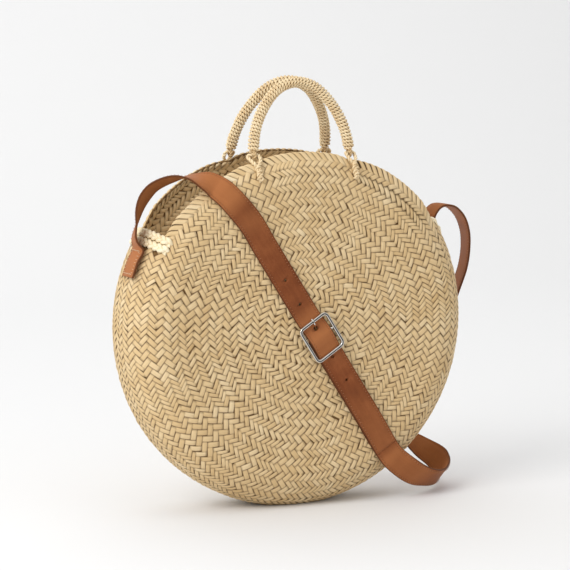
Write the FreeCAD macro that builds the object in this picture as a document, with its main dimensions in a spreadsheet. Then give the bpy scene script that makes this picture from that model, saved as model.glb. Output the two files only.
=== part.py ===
import FreeCAD, Part
import math
import os
import Sketcher
from FreeCAD import Placement, Rotation, Vector

doc = FreeCAD.newDocument("circle_bag")

# Driving dimensions, in millimetres and degrees
DIMENSIONS = [
    # Woven body: a round pillow shape, pressed flat where it stands
    ("body_radius", 185.0),
    ("body_depth", 90.0),
    ("shoulder_share", 0.4444),
    ("wall", 4.0),
    ("rest_sink", 3.0),
    ("corner_share", 0.946),
    ("corner_start", 15.0),
    ("corner_end", 60.0),
    # Seams, mouth and its edging
    ("seam_share", 0.689),
    ("mouth_angle", 32.5),
    ("braid_row", 9.0),
    ("rim_diameter", 6.0),
    ("seat_gap", 0.1),
    # Rope handles
    ("handle_span", 104.0),
    ("front_rise", 71.0),
    ("back_rise", 75.0),
    ("front_lean", 9.2),
    ("back_lean", 19.5),
    ("handle_crown_radius", 37.0),
    ("core_diameter", 7.4),
    ("wrap_thickness", 2.0),
    ("wrap_start", 5.6),
    ("eye_diameter", 10.0),
    ("eye_clearance", 0.5),
    # Ties of the handles
    ("tie_diameter", 3.0),
    ("tie_length", 24.0),
    ("tie_clearance", 0.6),
    ("pivot_clearance", 0.05),
    ("tail_diameter", 4.0),
    ("knot_diameter", 8.0),
    # Leather strap, two layers
    ("strap_width", 26.0),
    ("leather", 1.0),
    ("glue_gap", 0.1),
    ("strap_clearance", 0.6),
    ("strap_slope", 57.2),
    ("bend_share", 0.762),
    ("tip_share", 0.975),
    ("tab_low", 16.8),
    ("tab_high", 26.0),
    ("tab_offset", 13.0),
    ("hole_radius", 2.25),
    ("hole_pitch", 29.0),
    # Buckle
    ("buckle_across_share", 0.0557),
    ("buckle_below_share", 0.0589),
    ("buckle_length", 41.4),
    ("buckle_bar", 3.2),
    ("buckle_side", 3.0),
    ("window_gap", 2.2),
    ("buckle_thickness", 3.0),
    ("buckle_corner", 6.0),
    ("buckle_edge", 0.9),
    ("buckle_clearance", 0.3),
    ("pin_diameter", 2.8),
    ("prong_diameter", 1.4),
    ("prong_width", 3.0),
    ("fold_flap", 32.0),
    ("fold_slot", 4.0),
    # Sewing
    ("ply_gap", 0.6),
    ("stitch_length", 2.4),
    ("stitch_pitch", 3.3),
    ("thread_diameter", 0.5),
    ("seam_margin", 3.2),
    ("patch_thickness", 1.4),
    ("patch_margin", 6.0),
]

sheet = doc.addObject("Spreadsheet::Sheet", "sizes")
for row, (alias, value) in enumerate(DIMENSIONS, start=1):
    sheet.set("A%d" % row, alias)
    sheet.set("B%d" % row, str(value))
    sheet.setAlias("B%d" % row, alias)
doc.recompute()


def size(alias):
    return float(sheet.get(alias))


nodes = {}
middle = size("body_radius") - size("rest_sink")
half_depth = size("body_depth") / 2
shoulder = size("body_depth") * size("shoulder_share")
corner = size("body_radius") * size("corner_share")
seam_offset = half_depth * size("seam_share")
reach = 2 * (size("body_radius") + size("body_depth"))


def keep(name, item):
    """Makes a document object one of the bag's pieces."""
    item.Label = name
    nodes[name] = item
    return item


def solid(name, shape):
    """Holds a shape that has no feature of its own."""
    item = doc.addObject("Part::Feature", name)
    item.Shape = shape
    return item


def combine(kind, name, base, tool):
    item = doc.addObject("Part::" + kind, name)
    item.Base = base
    item.Tool = tool
    return item


# Outline of the bag: a round lower part, two tighter corners and a flatter crown

def outline_arcs(inset):
    """Centre x, centre height, radius and end angles of each arc, counter-clockwise."""
    start = math.radians(size("corner_start"))
    end = math.radians(size("corner_end"))
    shift = size("body_radius") - corner
    corner_x = shift * math.cos(start)
    corner_z = middle + shift * math.sin(start)
    spread = corner_x / math.cos(end)
    crown_z = corner_z - spread * math.sin(end)
    return [
        (0.0, middle, size("body_radius") - inset, math.pi - start, 2 * math.pi + start),
        (corner_x, corner_z, corner - inset, start, end),
        (0.0, crown_z, corner + spread - inset, end, math.pi - end),
        (-corner_x, corner_z, corner - inset, math.pi - end, math.pi - start),
    ]


def outline_radius(angle):
    """Distance from the bag's axis to its outline, at an angle above the right-hand side."""
    ray = Vector(abs(math.cos(angle)), 0, math.sin(angle))
    if ray.z <= math.sin(math.radians(size("corner_start"))):
        return size("body_radius")
    for centre_x, centre_z, radius, start, end in outline_arcs(0)[1:3]:
        centre = Vector(centre_x, 0, centre_z - middle)
        along = ray.dot(centre)
        distance = along + math.sqrt(along ** 2 - centre.dot(centre) + radius ** 2)
        point = ray * distance - centre
        if math.atan2(point.z, point.x) <= end:
            break
    return distance


def skin(x, z):
    """Point and outward normal of the bag's front, z being measured from the bag's axis."""
    angle = math.atan2(z, x)
    inside = outline_radius(angle) - math.hypot(x, z)
    turn = math.acos(max(0.0, (shoulder - inside) / shoulder))
    normal = Vector(math.cos(turn) * math.cos(angle), -math.sin(turn), math.cos(turn) * math.sin(angle))
    depth = half_depth - shoulder + shoulder * math.sin(turn)
    return Vector(x, -depth, middle + z), normal


def pillow(name, inset):
    """The bag's rounded form, set in all round by the sum of some sizes."""
    inset_sum = " + ".join("sizes." + alias for alias in inset) or "0"
    inset_value = sum(size(alias) for alias in inset)
    body = doc.addObject("PartDesign::Body", name)
    plane = next(item for item in body.Origin.OriginFeatures if item.Role == "XZ_Plane")
    sketch = body.newObject("Sketcher::SketchObject", name + "_outline")
    sketch.AttachmentSupport = [(plane, "")]
    sketch.MapMode = "FlatFace"
    radii = [("body_radius", size("body_radius")), ("body_radius * sizes.corner_share", corner), None,
             ("body_radius * sizes.corner_share", corner)]
    for x, z, radius, start, end in outline_arcs(inset_value):
        circle = Part.Circle(Vector(x, z, 0), Vector(0, 0, 1), radius)
        sketch.addGeometry(Part.ArcOfCircle(circle, start, end))
    for arc in range(len(radii)):
        sketch.addConstraint(Sketcher.Constraint("Tangent", arc, 2, (arc + 1) % len(radii), 1))
    for arc, bound in enumerate(radii):
        if bound:
            radius = sketch.addConstraint(Sketcher.Constraint("Radius", arc, bound[1] - inset_value))
            sketch.setExpression("Constraints[%d]" % radius, "sizes.%s - (%s)" % (bound[0], inset_sum))
    height = sketch.addConstraint(Sketcher.Constraint("DistanceY", -1, 1, 0, 3, middle))
    sketch.setExpression("Constraints[%d]" % height, "sizes.body_radius - sizes.rest_sink")
    sketch.addConstraint(Sketcher.Constraint("PointOnObject", 0, 3, -2))
    sketch.addConstraint(Sketcher.Constraint("PointOnObject", 2, 3, -2))
    pad = body.newObject("PartDesign::Pad", name + "_depth")
    pad.Profile = sketch
    pad.SideType = "Symmetric"
    pad.setExpression("Length", "sizes.body_depth - 2 * (%s)" % inset_sum)
    doc.recompute()
    rims = ["Edge%d" % number for number, edge in enumerate(pad.Shape.Edges, start=1)
            if edge.BoundBox.YLength < 0.001]
    shoulders = body.newObject("PartDesign::Fillet", name + "_shoulders")
    shoulders.Base = (pad, rims)
    shoulders.setExpression("Radius", "sizes.body_depth * sizes.shoulder_share - (%s)" % inset_sum)
    return body


def region(name, x, y, z):
    """A block between two expressions on each axis."""
    block = doc.addObject("Part::Box", name)
    for side, place, (low, high) in zip(("Length", "Width", "Height"), "xyz", (x, y, z)):
        block.setExpression(side, "(%s) - (%s)" % (high, low))
        block.setExpression(".Placement.Base." + place, low)
    return block


def sector(name, start, end):
    """A wedge about the bag's axis between two angles, in degrees above the right-hand side."""
    corners = [Vector(0, -reach, middle)]
    for angle in (start, (start + end) / 2, end):
        turn = math.radians(angle)
        corners.append(Vector(reach * math.cos(turn), -reach, middle + reach * math.sin(turn)))
    face = Part.Face(Part.makePolygon(corners + corners[:1]))
    return solid(name, face.extrude(Vector(0, 2 * reach, 0)))


# Woven shell: outer form less its cavity, both cut level for the flat rest

everywhere = ("-2 * sizes.body_radius", "2 * sizes.body_radius")
above = "3 * sizes.body_radius"
standing = region("standing", everywhere, everywhere, ("0", above))
hollow_above = region("hollow_above", everywhere, everywhere, ("sizes.wall", above))
outer_form = combine("Common", "outer_form", pillow("outer_pillow", []), standing)
cavity = combine("Common", "cavity", pillow("cavity_pillow", ["wall"]), hollow_above)
shell = combine("Cut", "shell", outer_form, cavity)

# Handle places, which the ties and the panels' tie holes share

rim_radius = size("rim_diameter") / 2
edge_turn = math.asin((seam_offset - half_depth + shoulder) / shoulder)
edge_inset = shoulder * (1 - math.cos(edge_turn))
rim_inset = edge_inset + rim_radius
rim_y = seam_offset - rim_radius - size("seat_gap")
eye_radius = size("eye_diameter") / 2
foot_x = size("handle_span") / 2
crown_x, crown_z, crown_radius, crown_start, crown_end = outline_arcs(edge_inset)[2]
pivot_z = crown_z + math.sqrt((crown_radius + eye_radius + size("eye_clearance")) ** 2 - foot_x ** 2)
tie_radius = size("tie_diameter") / 2
tie_lift = tie_radius + size("tie_clearance")


def tie_entry(x):
    """Point of the skin where a tie goes through the panel, and the normal there."""
    return skin(x, pivot_z - middle - size("tie_length"))


def tie_hole(name, x, turn):
    """Bore of a tie hole; turn is 180 degrees for the back panel."""
    point, normal = tie_entry(x)
    bore = doc.addObject("Part::Cylinder", name)
    bore.setExpression("Radius", "sizes.tail_diameter / 2 + sizes.tie_clearance")
    bore.setExpression("Height", "4 * sizes.wall")
    about = Rotation(Vector(0, 0, 1), turn)
    start = point + normal * 2 * size("wall")
    bore.Placement = Placement(about.multVec(start), about.multiply(Rotation(Vector(0, 0, 1), -normal)))
    return bore


# Panels: the two round faces, each with a pair of tie holes

seam = "sizes.body_depth / 2 * sizes.seam_share"
for side, turn, limits in (
    ("front", 0, ("-2 * sizes.body_radius", "-" + seam)),
    ("back", 180, (seam, "2 * sizes.body_radius")),
):
    half = region(side + "_side", everywhere, limits, ("0", above))
    blank = combine("Common", side + "_blank", shell, half)
    pierced = combine("Cut", side + "_pierced", blank, tie_hole(side + "_hole_left", -foot_x, turn))
    second_hole = tie_hole(side + "_hole_right", foot_x, turn)
    keep(side + "_panel", combine("Cut", side + "_panel", pierced, second_hole))

# Gusset, from one end of the mouth round under the bag to the other, and its two end braids

seam_span = ("-" + seam, seam)
ring = combine("Common", "ring", shell, region("between_seams", everywhere, seam_span, ("0", above)))
mouth = size("mouth_angle")
row_angle = math.degrees(size("braid_row") / size("body_radius"))
braid_end = mouth - 2 * row_angle
keep("gusset", combine("Cut", "gusset", ring, sector("open_arc", braid_end, 180 - braid_end)))
for side, first in (("right", braid_end), ("left", 180 - mouth)):
    rows = [combine("Common", "%s_row_%d" % (side, number), ring,
                    sector("%s_sector_%d" % (side, number), first + number * row_angle,
                           first + (number + 1) * row_angle)) for number in range(2)]
    braids = doc.addObject("Part::Compound", side + "_braids")
    braids.Links = rows
    keep(side + "_mouth_end_braids", braids)


# Rim bindings, one along each free edge of the mouth

def pipe(edges, radius):
    """A round bar along a chain of edges."""
    path = Part.Wire(edges)
    start = edges[0].valueAt(edges[0].FirstParameter)
    tangent = edges[0].tangentAt(edges[0].FirstParameter)
    profile = Part.Wire(Part.Circle(start, tangent, radius).toShape())
    return path.makePipeShell([profile], True, False)


def arc_edge(x, z, radius, start, end, y):
    """An arc in an upright plane parallel to the bag's faces."""
    points = [Vector(x + radius * math.cos(angle), y, z + radius * math.sin(angle))
              for angle in (start, (start + end) / 2, end)]
    return Part.Arc(*points).toShape()


mouth_sector = sector("mouth_sector", mouth, 180 - mouth)
for side, y in (("front", -rim_y), ("back", rim_y)):
    rim_path = [arc_edge(*arc, y) for arc in outline_arcs(rim_inset)[1:]]
    bar = solid(side + "_rim_bar", pipe(rim_path, rim_radius))
    keep(side + "_rim_binding", combine("Common", side + "_rim_binding", bar, mouth_sector))

# Handles: an arched rope core with an eye at each end, and the cord wrapping round it

core_radius = size("core_diameter") / 2
wrap_radius = core_radius + size("seat_gap") + size("wrap_thickness")
crown = size("handle_crown_radius")
bore_radius = tie_radius + size("pivot_clearance")
above_eyes = Part.makeBox(2 * reach, 2 * reach, reach, Vector(-reach, -reach, size("wrap_start")))


def handle_arch(rise):
    """Two legs and a tighter crown, in an upright plane with the eyes at height 0."""
    leg_radius = (crown ** 2 - foot_x ** 2 - (rise - crown) ** 2) / (2 * (crown - foot_x))
    leg_centre = leg_radius - foot_x
    leg_turn = math.atan2(rise - crown, leg_centre)
    return [
        arc_edge(leg_centre, 0, leg_radius, math.pi, math.pi - leg_turn, 0),
        arc_edge(0, rise - crown, crown, math.pi - leg_turn, leg_turn, 0),
        arc_edge(-leg_centre, 0, leg_radius, leg_turn, 0, 0),
    ]


for side, y, tilt in (("front", -rim_y, -size("front_lean")), ("back", rim_y, size("back_lean"))):
    arch = handle_arch(size(side + "_rise"))
    core = pipe(arch, core_radius)
    for x in (-foot_x, foot_x):
        core = core.fuse(Part.makeSphere(eye_radius, Vector(x, 0, 0)))
    core = core.cut(Part.makeCylinder(bore_radius, 2 * reach, Vector(-reach, 0, 0), Vector(1, 0, 0)))
    wrap = pipe(arch, wrap_radius).cut(pipe(arch, core_radius + size("seat_gap"))).common(above_eyes)
    for piece, shape in (("core", core), ("wrap", wrap)):
        handle = keep("%s_handle_%s" % (side, piece), solid("%s_%s" % (side, piece), shape))
        handle.Placement = Placement(Vector(0, y, pivot_z), Rotation(Vector(1, 0, 0), tilt))


# Handle ties: a pin through each eye, two strands down the panel, a tail through it and a knot inside

def cord(points, radius):
    """Straight runs of round cord with rounded joints."""
    pieces = [Part.makeSphere(radius, point) for point in points]
    for start, end in zip(points, points[1:]):
        pieces.append(Part.makeCylinder(radius, (end - start).Length, start, end - start))
    return pieces


def tie(x):
    knot_radius = size("knot_diameter") / 2
    entry, normal = tie_entry(x)
    pin_reach = eye_radius + size("eye_clearance") + tie_radius
    pin = [Vector(x + hand * pin_reach, -rim_y, pivot_z) for hand in (-1, 1)]
    pieces = cord(pin, tie_radius)
    for hand in (-1, 1):
        strand = [Vector(x + hand * pin_reach, -rim_y, pivot_z)]
        for share, spread in ((0.16, 1.0), (0.35, 0.88), (0.55, 0.62), (0.78, 0.3), (1.0, 0.0)):
            point, out = skin(x + hand * spread * pin_reach, pivot_z - middle - share * size("tie_length"))
            strand.append(point + out * tie_lift * (1.35 - 0.35 * share))
        pieces += cord(strand, tie_radius)
    inside = entry - normal * (size("wall") + size("tie_clearance") + knot_radius)
    pieces += cord([entry + normal * tie_lift, inside], size("tail_diameter") / 2)
    pieces.append(Part.makeSphere(knot_radius, inside))
    return pieces[0].multiFuse(pieces[1:]).removeSplitter()


for side, turn in (("front", 0), ("back", 180)):
    for hand, x in (("left", -foot_x), ("right", foot_x)):
        tied = solid("%s_%s_tie" % (side, hand), tie(x if side == "front" else -x))
        tied.Placement = Placement(Vector(0, 0, 0), Rotation(Vector(0, 0, 1), turn))
        keep("%s_%s_handle_tie" % (side, hand), tied)

# Strap: levels of its layers above the bag's skin, and the straight line that it takes down the front

leather = size("leather")
strap_thickness = 2 * leather + size("glue_gap")
face_low = leather + size("glue_gap")
half_width = size("strap_width") / 2
slope = math.radians(size("strap_slope"))
down = Vector(math.cos(slope), 0, -math.sin(slope))
buckle_x = size("body_radius") * size("buckle_across_share")
buckle_z = -size("body_radius") * size("buckle_below_share")
pin_radius = size("pin_diameter") / 2
fold_radius = pin_radius + size("glue_gap")
pin_level = fold_radius + leather
fold_top = pin_level + fold_radius + leather
over_strap = strap_thickness + size("ply_gap")
over_fold = fold_top + size("buckle_clearance")
frame_low = over_strap + strap_thickness + size("buckle_clearance")
frame_top = frame_low + size("buckle_thickness")
bar_place = size("buckle_length") / 2 - size("buckle_bar") / 2


def on_front(distance, level, half=half_width):
    """Strap station on the front line, at a distance down from the buckle and a level above the skin."""
    point, normal = skin(buckle_x + down.x * distance, buckle_z + down.z * distance)
    return point + normal * (size("strap_clearance") + level), normal.cross(down), half


def on_skin(x, z, level, across):
    """Strap station on the bag's front, x and z in shares of the body radius from the bag's axis."""
    point, normal = skin(x * size("body_radius"), z * size("body_radius"))
    return point + normal * (size("strap_clearance") + level), Vector(*across), half_width


def beside(x, y, z, across):
    """Strap station off the bag: x and z in shares of the body radius, y in shares of the half depth."""
    point = Vector(x * size("body_radius"), y * half_depth, middle + z * size("body_radius"))
    return point, Vector(*across), half_width


def tab(angles, offset):
    """Stations where the strap is sewn flat on the gusset, off its middle towards the front or the back."""
    stations = []
    for angle in angles:
        turn = math.radians(angle)
        radius = outline_radius(turn) + size("strap_clearance")
        point = Vector(radius * math.cos(turn), offset, middle + radius * math.sin(turn))
        stations.append((point, Vector(0, 1, 0), half_width))
    return stations


def ribbon(stations, low, high):
    """A leather layer between two levels, through stations of point, width direction and half width."""
    sections = []
    for number, (point, across, half) in enumerate(stations):
        before = point - stations[max(number - 1, 0)][0]
        after = stations[min(number + 1, len(stations) - 1)][0] - point
        along = Vector(0, 0, 0)
        for run in (before, after):
            if run.Length > 0:
                along += run / run.Length
        along.normalize()
        across = across - along * across.dot(along)
        across.normalize()
        out = along.cross(across)
        corners = [point + across * half * hand + out * level
                   for hand, level in ((-1, low), (1, low), (1, high), (-1, high))]
        sections.append(corners + corners[:1])
    faces = [Part.Face(Part.makePolygon(section)) for section in (sections[0], sections[-1])]
    for section, following in zip(sections, sections[1:]):
        for corner in range(4):
            edges = [section[corner:corner + 2], following[corner:corner + 2]]
            patch = Part.BSplineSurface()
            patch.buildFromPolesMultsKnots(edges, [2, 2], [2, 2], [0, 1], [0, 1], False, False, 1, 1)
            faces.append(patch.toShape())
    shell = Part.makeShell(faces)
    shell.sewShape()
    layer = Part.makeSolid(shell)
    if layer.Volume < 0:
        layer.reverse()
    return layer


def smooth(stations, first, last, steps):
    """Adds stations on a curve through those of a free stretch, from the first to the last number."""
    dense = []
    for number, (point, across, half) in enumerate(stations):
        dense.append((point, across, half))
        if first <= number < last:
            before = stations[max(number - 1, 0)][0]
            after, after_across, after_half = stations[number + 1]
            beyond = stations[min(number + 2, len(stations) - 1)][0]
            for step in range(1, steps):
                share = step / steps
                bend = (before * 2 - point * 5 + after * 4 - beyond) * share ** 2
                twist = (point * 3 - before - after * 3 + beyond) * share ** 3
                between = (point * 2 + (after - before) * share + bend + twist) / 2
                dense.append((between, across * (1 - share) + after_across * share,
                              half * (1 - share) + after_half * share))
    return dense


tab_middle = (size("tab_low") + size("tab_high")) / 2
tab_angles = [size("tab_low"), tab_middle, size("tab_high")]

# Left arch of the holed strap, from its tab to the front rim
LEFT_ARCH = [
    (-0.919, -0.289, 0.483, (0.2, 0.98, 0.0)),
    (-0.906, -0.3, 0.574, (0.43, 0.9, 0.0)),
    (-0.892, -0.322, 0.646, (0.62, 0.78, -0.05)),
    (-0.869, -0.367, 0.703, (0.7, 0.7, -0.15)),
    (-0.835, -0.422, 0.747, (0.65, 0.72, -0.25)),
    (-0.785, -0.489, 0.777, (0.5, 0.8, -0.32)),
    (-0.723, -0.567, 0.796, (0.4, 0.88, -0.25)),
    (-0.652, -0.68, 0.8005, (0.45, 0.88, 0.1)),
    (-0.585, -0.789, 0.7835, (0.58, 0.6, 0.5)),
]

# From the rim down the front's shoulder, as on_skin takes it
OVER_RIM = [
    (-0.522, 0.748, 2.6, (0.62, 0.28, 0.7)),
    (-0.4986, 0.7316, 1.9, (0.68, 0.15, 0.69)),
    (-0.4729, 0.709, 1.2, (0.74, 0.08, 0.65)),
    (-0.4428, 0.6763, 0.6, (0.79, 0.03, 0.6)),
    (-0.4037, 0.6349, 0.2, (0.82, 0.0, 0.56)),
]

# Levels of the holed strap's inner side from the top bar of the buckle to the bottom one
OVER_BUCKLE = [
    (-1.6 * bar_place, 0.0),
    (-1.23 * bar_place, 0.06 * over_fold),
    (-bar_place, 0.18 * over_fold),
    (-0.61 * bar_place, 0.57 * over_fold),
    (-0.3 * bar_place, 0.9 * over_fold),
    (0.0, over_fold),
    (0.3 * bar_place, 0.92 * over_fold),
    (0.61 * bar_place, 0.3 * over_strap + 0.6 * over_fold),
    (0.86 * bar_place, 1.05 * over_strap),
    (bar_place, over_strap),
    (1.35 * bar_place, over_strap),
]

holed_route = tab([180 - angle for angle in tab_angles], -size("tab_offset"))
arch_start = len(holed_route) - 1
holed_route += [beside(*station) for station in LEFT_ARCH]
holed_route += [on_skin(*station) for station in OVER_RIM]
bend = -size("bend_share") * size("body_radius")
holed_route.append(on_front(bend, 0))
holed_route = smooth(holed_route, arch_start, len(holed_route) - 1, 3)
start_of_rise = OVER_BUCKLE[0][0]
for share in (0.7, 0.4, 0.15):
    holed_route.append(on_front(start_of_rise + share * (bend - start_of_rise), 0))
for distance, level in OVER_BUCKLE:
    holed_route.append(on_front(distance, level))
crossing = outline_radius(math.pi - slope)
flat_end = math.sqrt((crossing - shoulder) ** 2 - buckle_x ** 2 - buckle_z ** 2)
tip = flat_end * size("tip_share")
end_of_fall = OVER_BUCKLE[-1][0]
for share in (0.33, 0.66, 1.0):
    holed_route.append(on_front(end_of_fall + share * (tip - end_of_fall), over_strap))

# Buckle strap past the tip: a slack loop at the lower right, up behind the bag, over the right arch
SLACK_LOOP = [
    (0.497, -1.014, -0.736, (0.84, 0.0, 0.54)),
    (0.575, -1.02, -0.801, (0.74, -0.15, 0.65)),
    (0.672, -0.93, -0.857, (0.5, -0.45, 0.73)),
    (0.787, -0.69, -0.89, (0.28, -0.65, 0.68)),
    (0.902, -0.27, -0.9, (0.22, -0.62, 0.74)),
    (0.979, 0.22, -0.878, (0.32, -0.4, 0.8)),
    (0.99, 0.64, -0.842, (0.58, 0.05, 0.74)),
    (0.935, 0.93, -0.79, (0.66, 0.4, 0.56)),
    (0.87, 1.07, -0.73, (0.45, 0.75, 0.38)),
    (0.838, 1.1, -0.655, (0.2, 0.95, 0.15)),
    (0.854, 1.06, -0.562, (0.05, 1.0, 0.0)),
    (0.935, 0.94, -0.389, (0.05, 1.0, 0.0)),
    (1.018, 0.81, -0.189, (0.12, 0.99, 0.0)),
    (1.084, 0.7, 0.0, (0.17, 0.985, 0.0)),
    (1.125, 0.61, 0.129, (0.18, 0.985, 0.0)),
    (1.149, 0.5, 0.24, (0.18, 0.985, 0.0)),
    (1.153, 0.42, 0.345, (0.18, 0.985, 0.0)),
    (1.135, 0.35, 0.452, (0.15, 0.99, 0.0)),
    (1.088, 0.31, 0.541, (0.1, 0.995, 0.0)),
    (1.014, 0.29, 0.594, (0.04, 1.0, 0.0)),
    (0.938, 0.289, 0.592, (0.0, 1.0, 0.0)),
    (0.888, 0.289, 0.532, (0.0, 1.0, 0.0)),
]

lining_start = size("fold_flap") + size("glue_gap")
shared_route = [on_front(lining_start + share * (flat_end - lining_start), 0) for share in (0.3, 0.6, 0.95)]
shared_route += [beside(*station) for station in SLACK_LOOP]
shared_route += tab(tab_angles[::-1], size("tab_offset"))
shared_route = smooth(shared_route, 2, len(shared_route) - 3, 3)
lining_route = [on_front(lining_start, 0)] + shared_route

# The buckle strap's face goes round the centre bar and back under itself as far as its lining
fold_middle = fold_radius + leather / 2
face_middle = face_low + leather / 2
fold_route = [on_front(size("fold_flap"), leather / 2), on_front(size("fold_flap") / 2, leather / 2)]
for step in range(9):
    angle = math.radians(22.5 * step - 90)
    fold_route.append(on_front(-fold_middle * math.cos(angle), pin_level + fold_middle * math.sin(angle)))
fold_route += [
    on_front(0.45 * bar_place, face_middle + 0.55 * (pin_level + fold_middle - face_middle)),
    on_front(bar_place, face_middle),
    on_front(lining_start, face_middle),
]

# Buckle frame of its own: everything on it is placed by the strap's line down the front

buckle_point, buckle_across, buckle_half = on_front(0, 0)
buckle_out = skin(buckle_x, buckle_z)[1]
buckle_place = Placement(buckle_point, Rotation(down, buckle_across, buckle_out, "ZXY"))


def bored(shape, distances):
    """Punches the adjusting holes through a layer of the holed strap."""
    for distance in distances:
        hole = Part.makeCylinder(size("hole_radius"), reach / 10, Vector(distance, 0, -1), Vector(0, 0, 1))
        hole.Placement = buckle_place.multiply(hole.Placement)
        shape = shape.cut(hole)
    return shape


prong_hole = -0.565 * bar_place
pitch = size("hole_pitch")
hole_distances = [prong_hole + pitch * step for step in (-2, -1, 0)]
hole_distances += [prong_hole + pitch * step + over_fold for step in (1, 2)]
holed_lining = bored(ribbon(holed_route, 0, leather), hole_distances)
holed_face = bored(ribbon(holed_route, face_low, strap_thickness), hole_distances)
keep("holed_strap_lining", solid("holed_lining", holed_lining))
keep("holed_strap_face", solid("holed_face", holed_face))
keep("buckle_strap_lining", solid("buckle_lining", ribbon(lining_route, 0, leather)))
slot = Part.makeBox(2 * (fold_radius + leather) + 2, size("fold_slot"), fold_top + 2,
                    Vector(-fold_radius - leather - 1, -size("fold_slot") / 2, -1))
slot.Placement = buckle_place
fold = ribbon(fold_route, -leather / 2, leather / 2).cut(slot)
face = fold.fuse(ribbon(lining_route, face_low, strap_thickness))
keep("buckle_strap_face", solid("buckle_face", face))

# Buckle: a rounded frame with a centre bar carried low between its sides

frame_body = doc.addObject("PartDesign::Body", "frame_body")
flat = next(item for item in frame_body.Origin.OriginFeatures if item.Role == "XY_Plane")
frame_sketch = frame_body.newObject("Sketcher::SketchObject", "frame_outline")
frame_sketch.AttachmentSupport = [(flat, "")]
frame_sketch.MapMode = "FlatFace"
window_width = size("strap_width") + 2 * size("window_gap")


def rounded_rectangle(sketch, length, width, radius):
    """Four sides and four corner arcs about the sketch's origin."""
    x = length / 2 - radius
    y = width / 2 - radius
    for number, (corner_x, corner_y) in enumerate(((x, y), (-x, y), (-x, -y), (x, -y))):
        start = math.radians(90 * number)
        circle = Part.Circle(Vector(corner_x, corner_y, 0), Vector(0, 0, 1), radius)
        sketch.addGeometry(Part.ArcOfCircle(circle, start, start + math.pi / 2))
    sides = [((x, y + radius), (-x, y + radius)), ((-x - radius, y), (-x - radius, -y)),
             ((-x, -y - radius), (x, -y - radius)), ((x + radius, -y), (x + radius, y))]
    for start, end in sides:
        sketch.addGeometry(Part.LineSegment(Vector(*start, 0), Vector(*end, 0)))


rounded_rectangle(frame_sketch, size("buckle_length"), window_width + 2 * size("buckle_side"),
                  size("buckle_corner"))
rounded_rectangle(frame_sketch, size("buckle_length") - 2 * size("buckle_bar"), window_width,
                  size("buckle_corner") - size("buckle_side"))
frame_pad = frame_body.newObject("PartDesign::Pad", "frame_pad")
frame_pad.Profile = frame_sketch
frame_pad.setExpression("Length", "sizes.buckle_thickness")
doc.recompute()
frame_fillet = frame_body.newObject("PartDesign::Fillet", "frame_edges")
frame_rims = ["Edge%d" % number for number, edge in enumerate(frame_pad.Shape.Edges, start=1)
              if edge.BoundBox.ZLength < 0.001]
frame_fillet.Base = (frame_pad, frame_rims)
frame_fillet.setExpression("Radius", "sizes.buckle_edge")
frame_body.Placement = Placement(Vector(0, 0, frame_low), Rotation())
side_middle = (window_width + size("buckle_side")) / 2
bar_pieces = [frame_body]
centre_bar = doc.addObject("Part::Cylinder", "centre_bar")
centre_bar.setExpression("Radius", "sizes.pin_diameter / 2")
centre_bar.setExpression("Height", "sizes.strap_width + 2 * sizes.window_gap + sizes.buckle_side")
centre_bar.Placement = Placement(Vector(0, side_middle, pin_level), Rotation(Vector(1, 0, 0), 90))
bar_pieces.append(centre_bar)
for hand in (-1, 1):
    cheek = doc.addObject("Part::Box", "cheek_%s" % ("left" if hand < 0 else "right"))
    cheek.setExpression("Length", "sizes.pin_diameter + 2 * sizes.buckle_edge")
    cheek.setExpression("Width", "sizes.buckle_side - 2 * sizes.buckle_clearance")
    cheek_low = pin_level - pin_radius - size("buckle_clearance")
    cheek.Height = frame_low + size("buckle_thickness") / 2 - cheek_low
    cheek_y = hand * side_middle - size("buckle_side") / 2 + size("buckle_clearance")
    cheek.Placement = Placement(Vector(-pin_radius - size("buckle_edge"), cheek_y, cheek_low), Rotation())
    bar_pieces.append(cheek)
frame = doc.addObject("Part::MultiFuse", "buckle_frame")
frame.Shapes = bar_pieces
frame.Placement = buckle_place
keep("buckle_frame", frame)

# Prong: a ring on the centre bar and a wire that rises through the strap's hole onto the top bar

prong_radius = size("prong_diameter") / 2
ring_bore = pin_radius + size("pivot_clearance")
ring_radius = ring_bore + 0.75 * size("prong_diameter")
half_ring = Vector(0, -size("prong_width") / 2, pin_level)
prong = Part.makeCylinder(ring_radius, size("prong_width"), half_ring, Vector(0, 1, 0))
tip_level = frame_top + prong_radius + size("glue_gap")
prong_route = [
    Vector(-ring_radius + prong_radius, 0, pin_level + prong_radius / 3),
    Vector(-0.45 * bar_place, 0, pin_level + prong_radius / 3),
    Vector(1.08 * prong_hole, 0, 0.57 * over_fold + strap_thickness / 2 + prong_radius),
    Vector(-0.86 * bar_place, 0, tip_level),
    Vector(-bar_place - size("buckle_bar"), 0, tip_level),
]
prong = prong.multiFuse(cord(prong_route, prong_radius))
prong = prong.cut(Part.makeCylinder(ring_bore, size("prong_width"), half_ring, Vector(0, 1, 0)))
prong_item = keep("buckle_prong", solid("prong", prong))
prong_item.Placement = buckle_place

# Sewing: box stitches on the tabs and a row across the buckle strap's fold

thread_radius = size("thread_diameter") / 2


def stitch(centre, direction):
    half = direction * size("stitch_length") / 2
    return Part.makeCylinder(thread_radius, size("stitch_length"), centre - half, direction)


def evenly(length):
    """Places along a seam, a whole number of stitches apart and centred."""
    count = max(1, round(length / size("stitch_pitch")))
    return [(number + 0.5) / count - 0.5 for number in range(count)]


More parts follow.
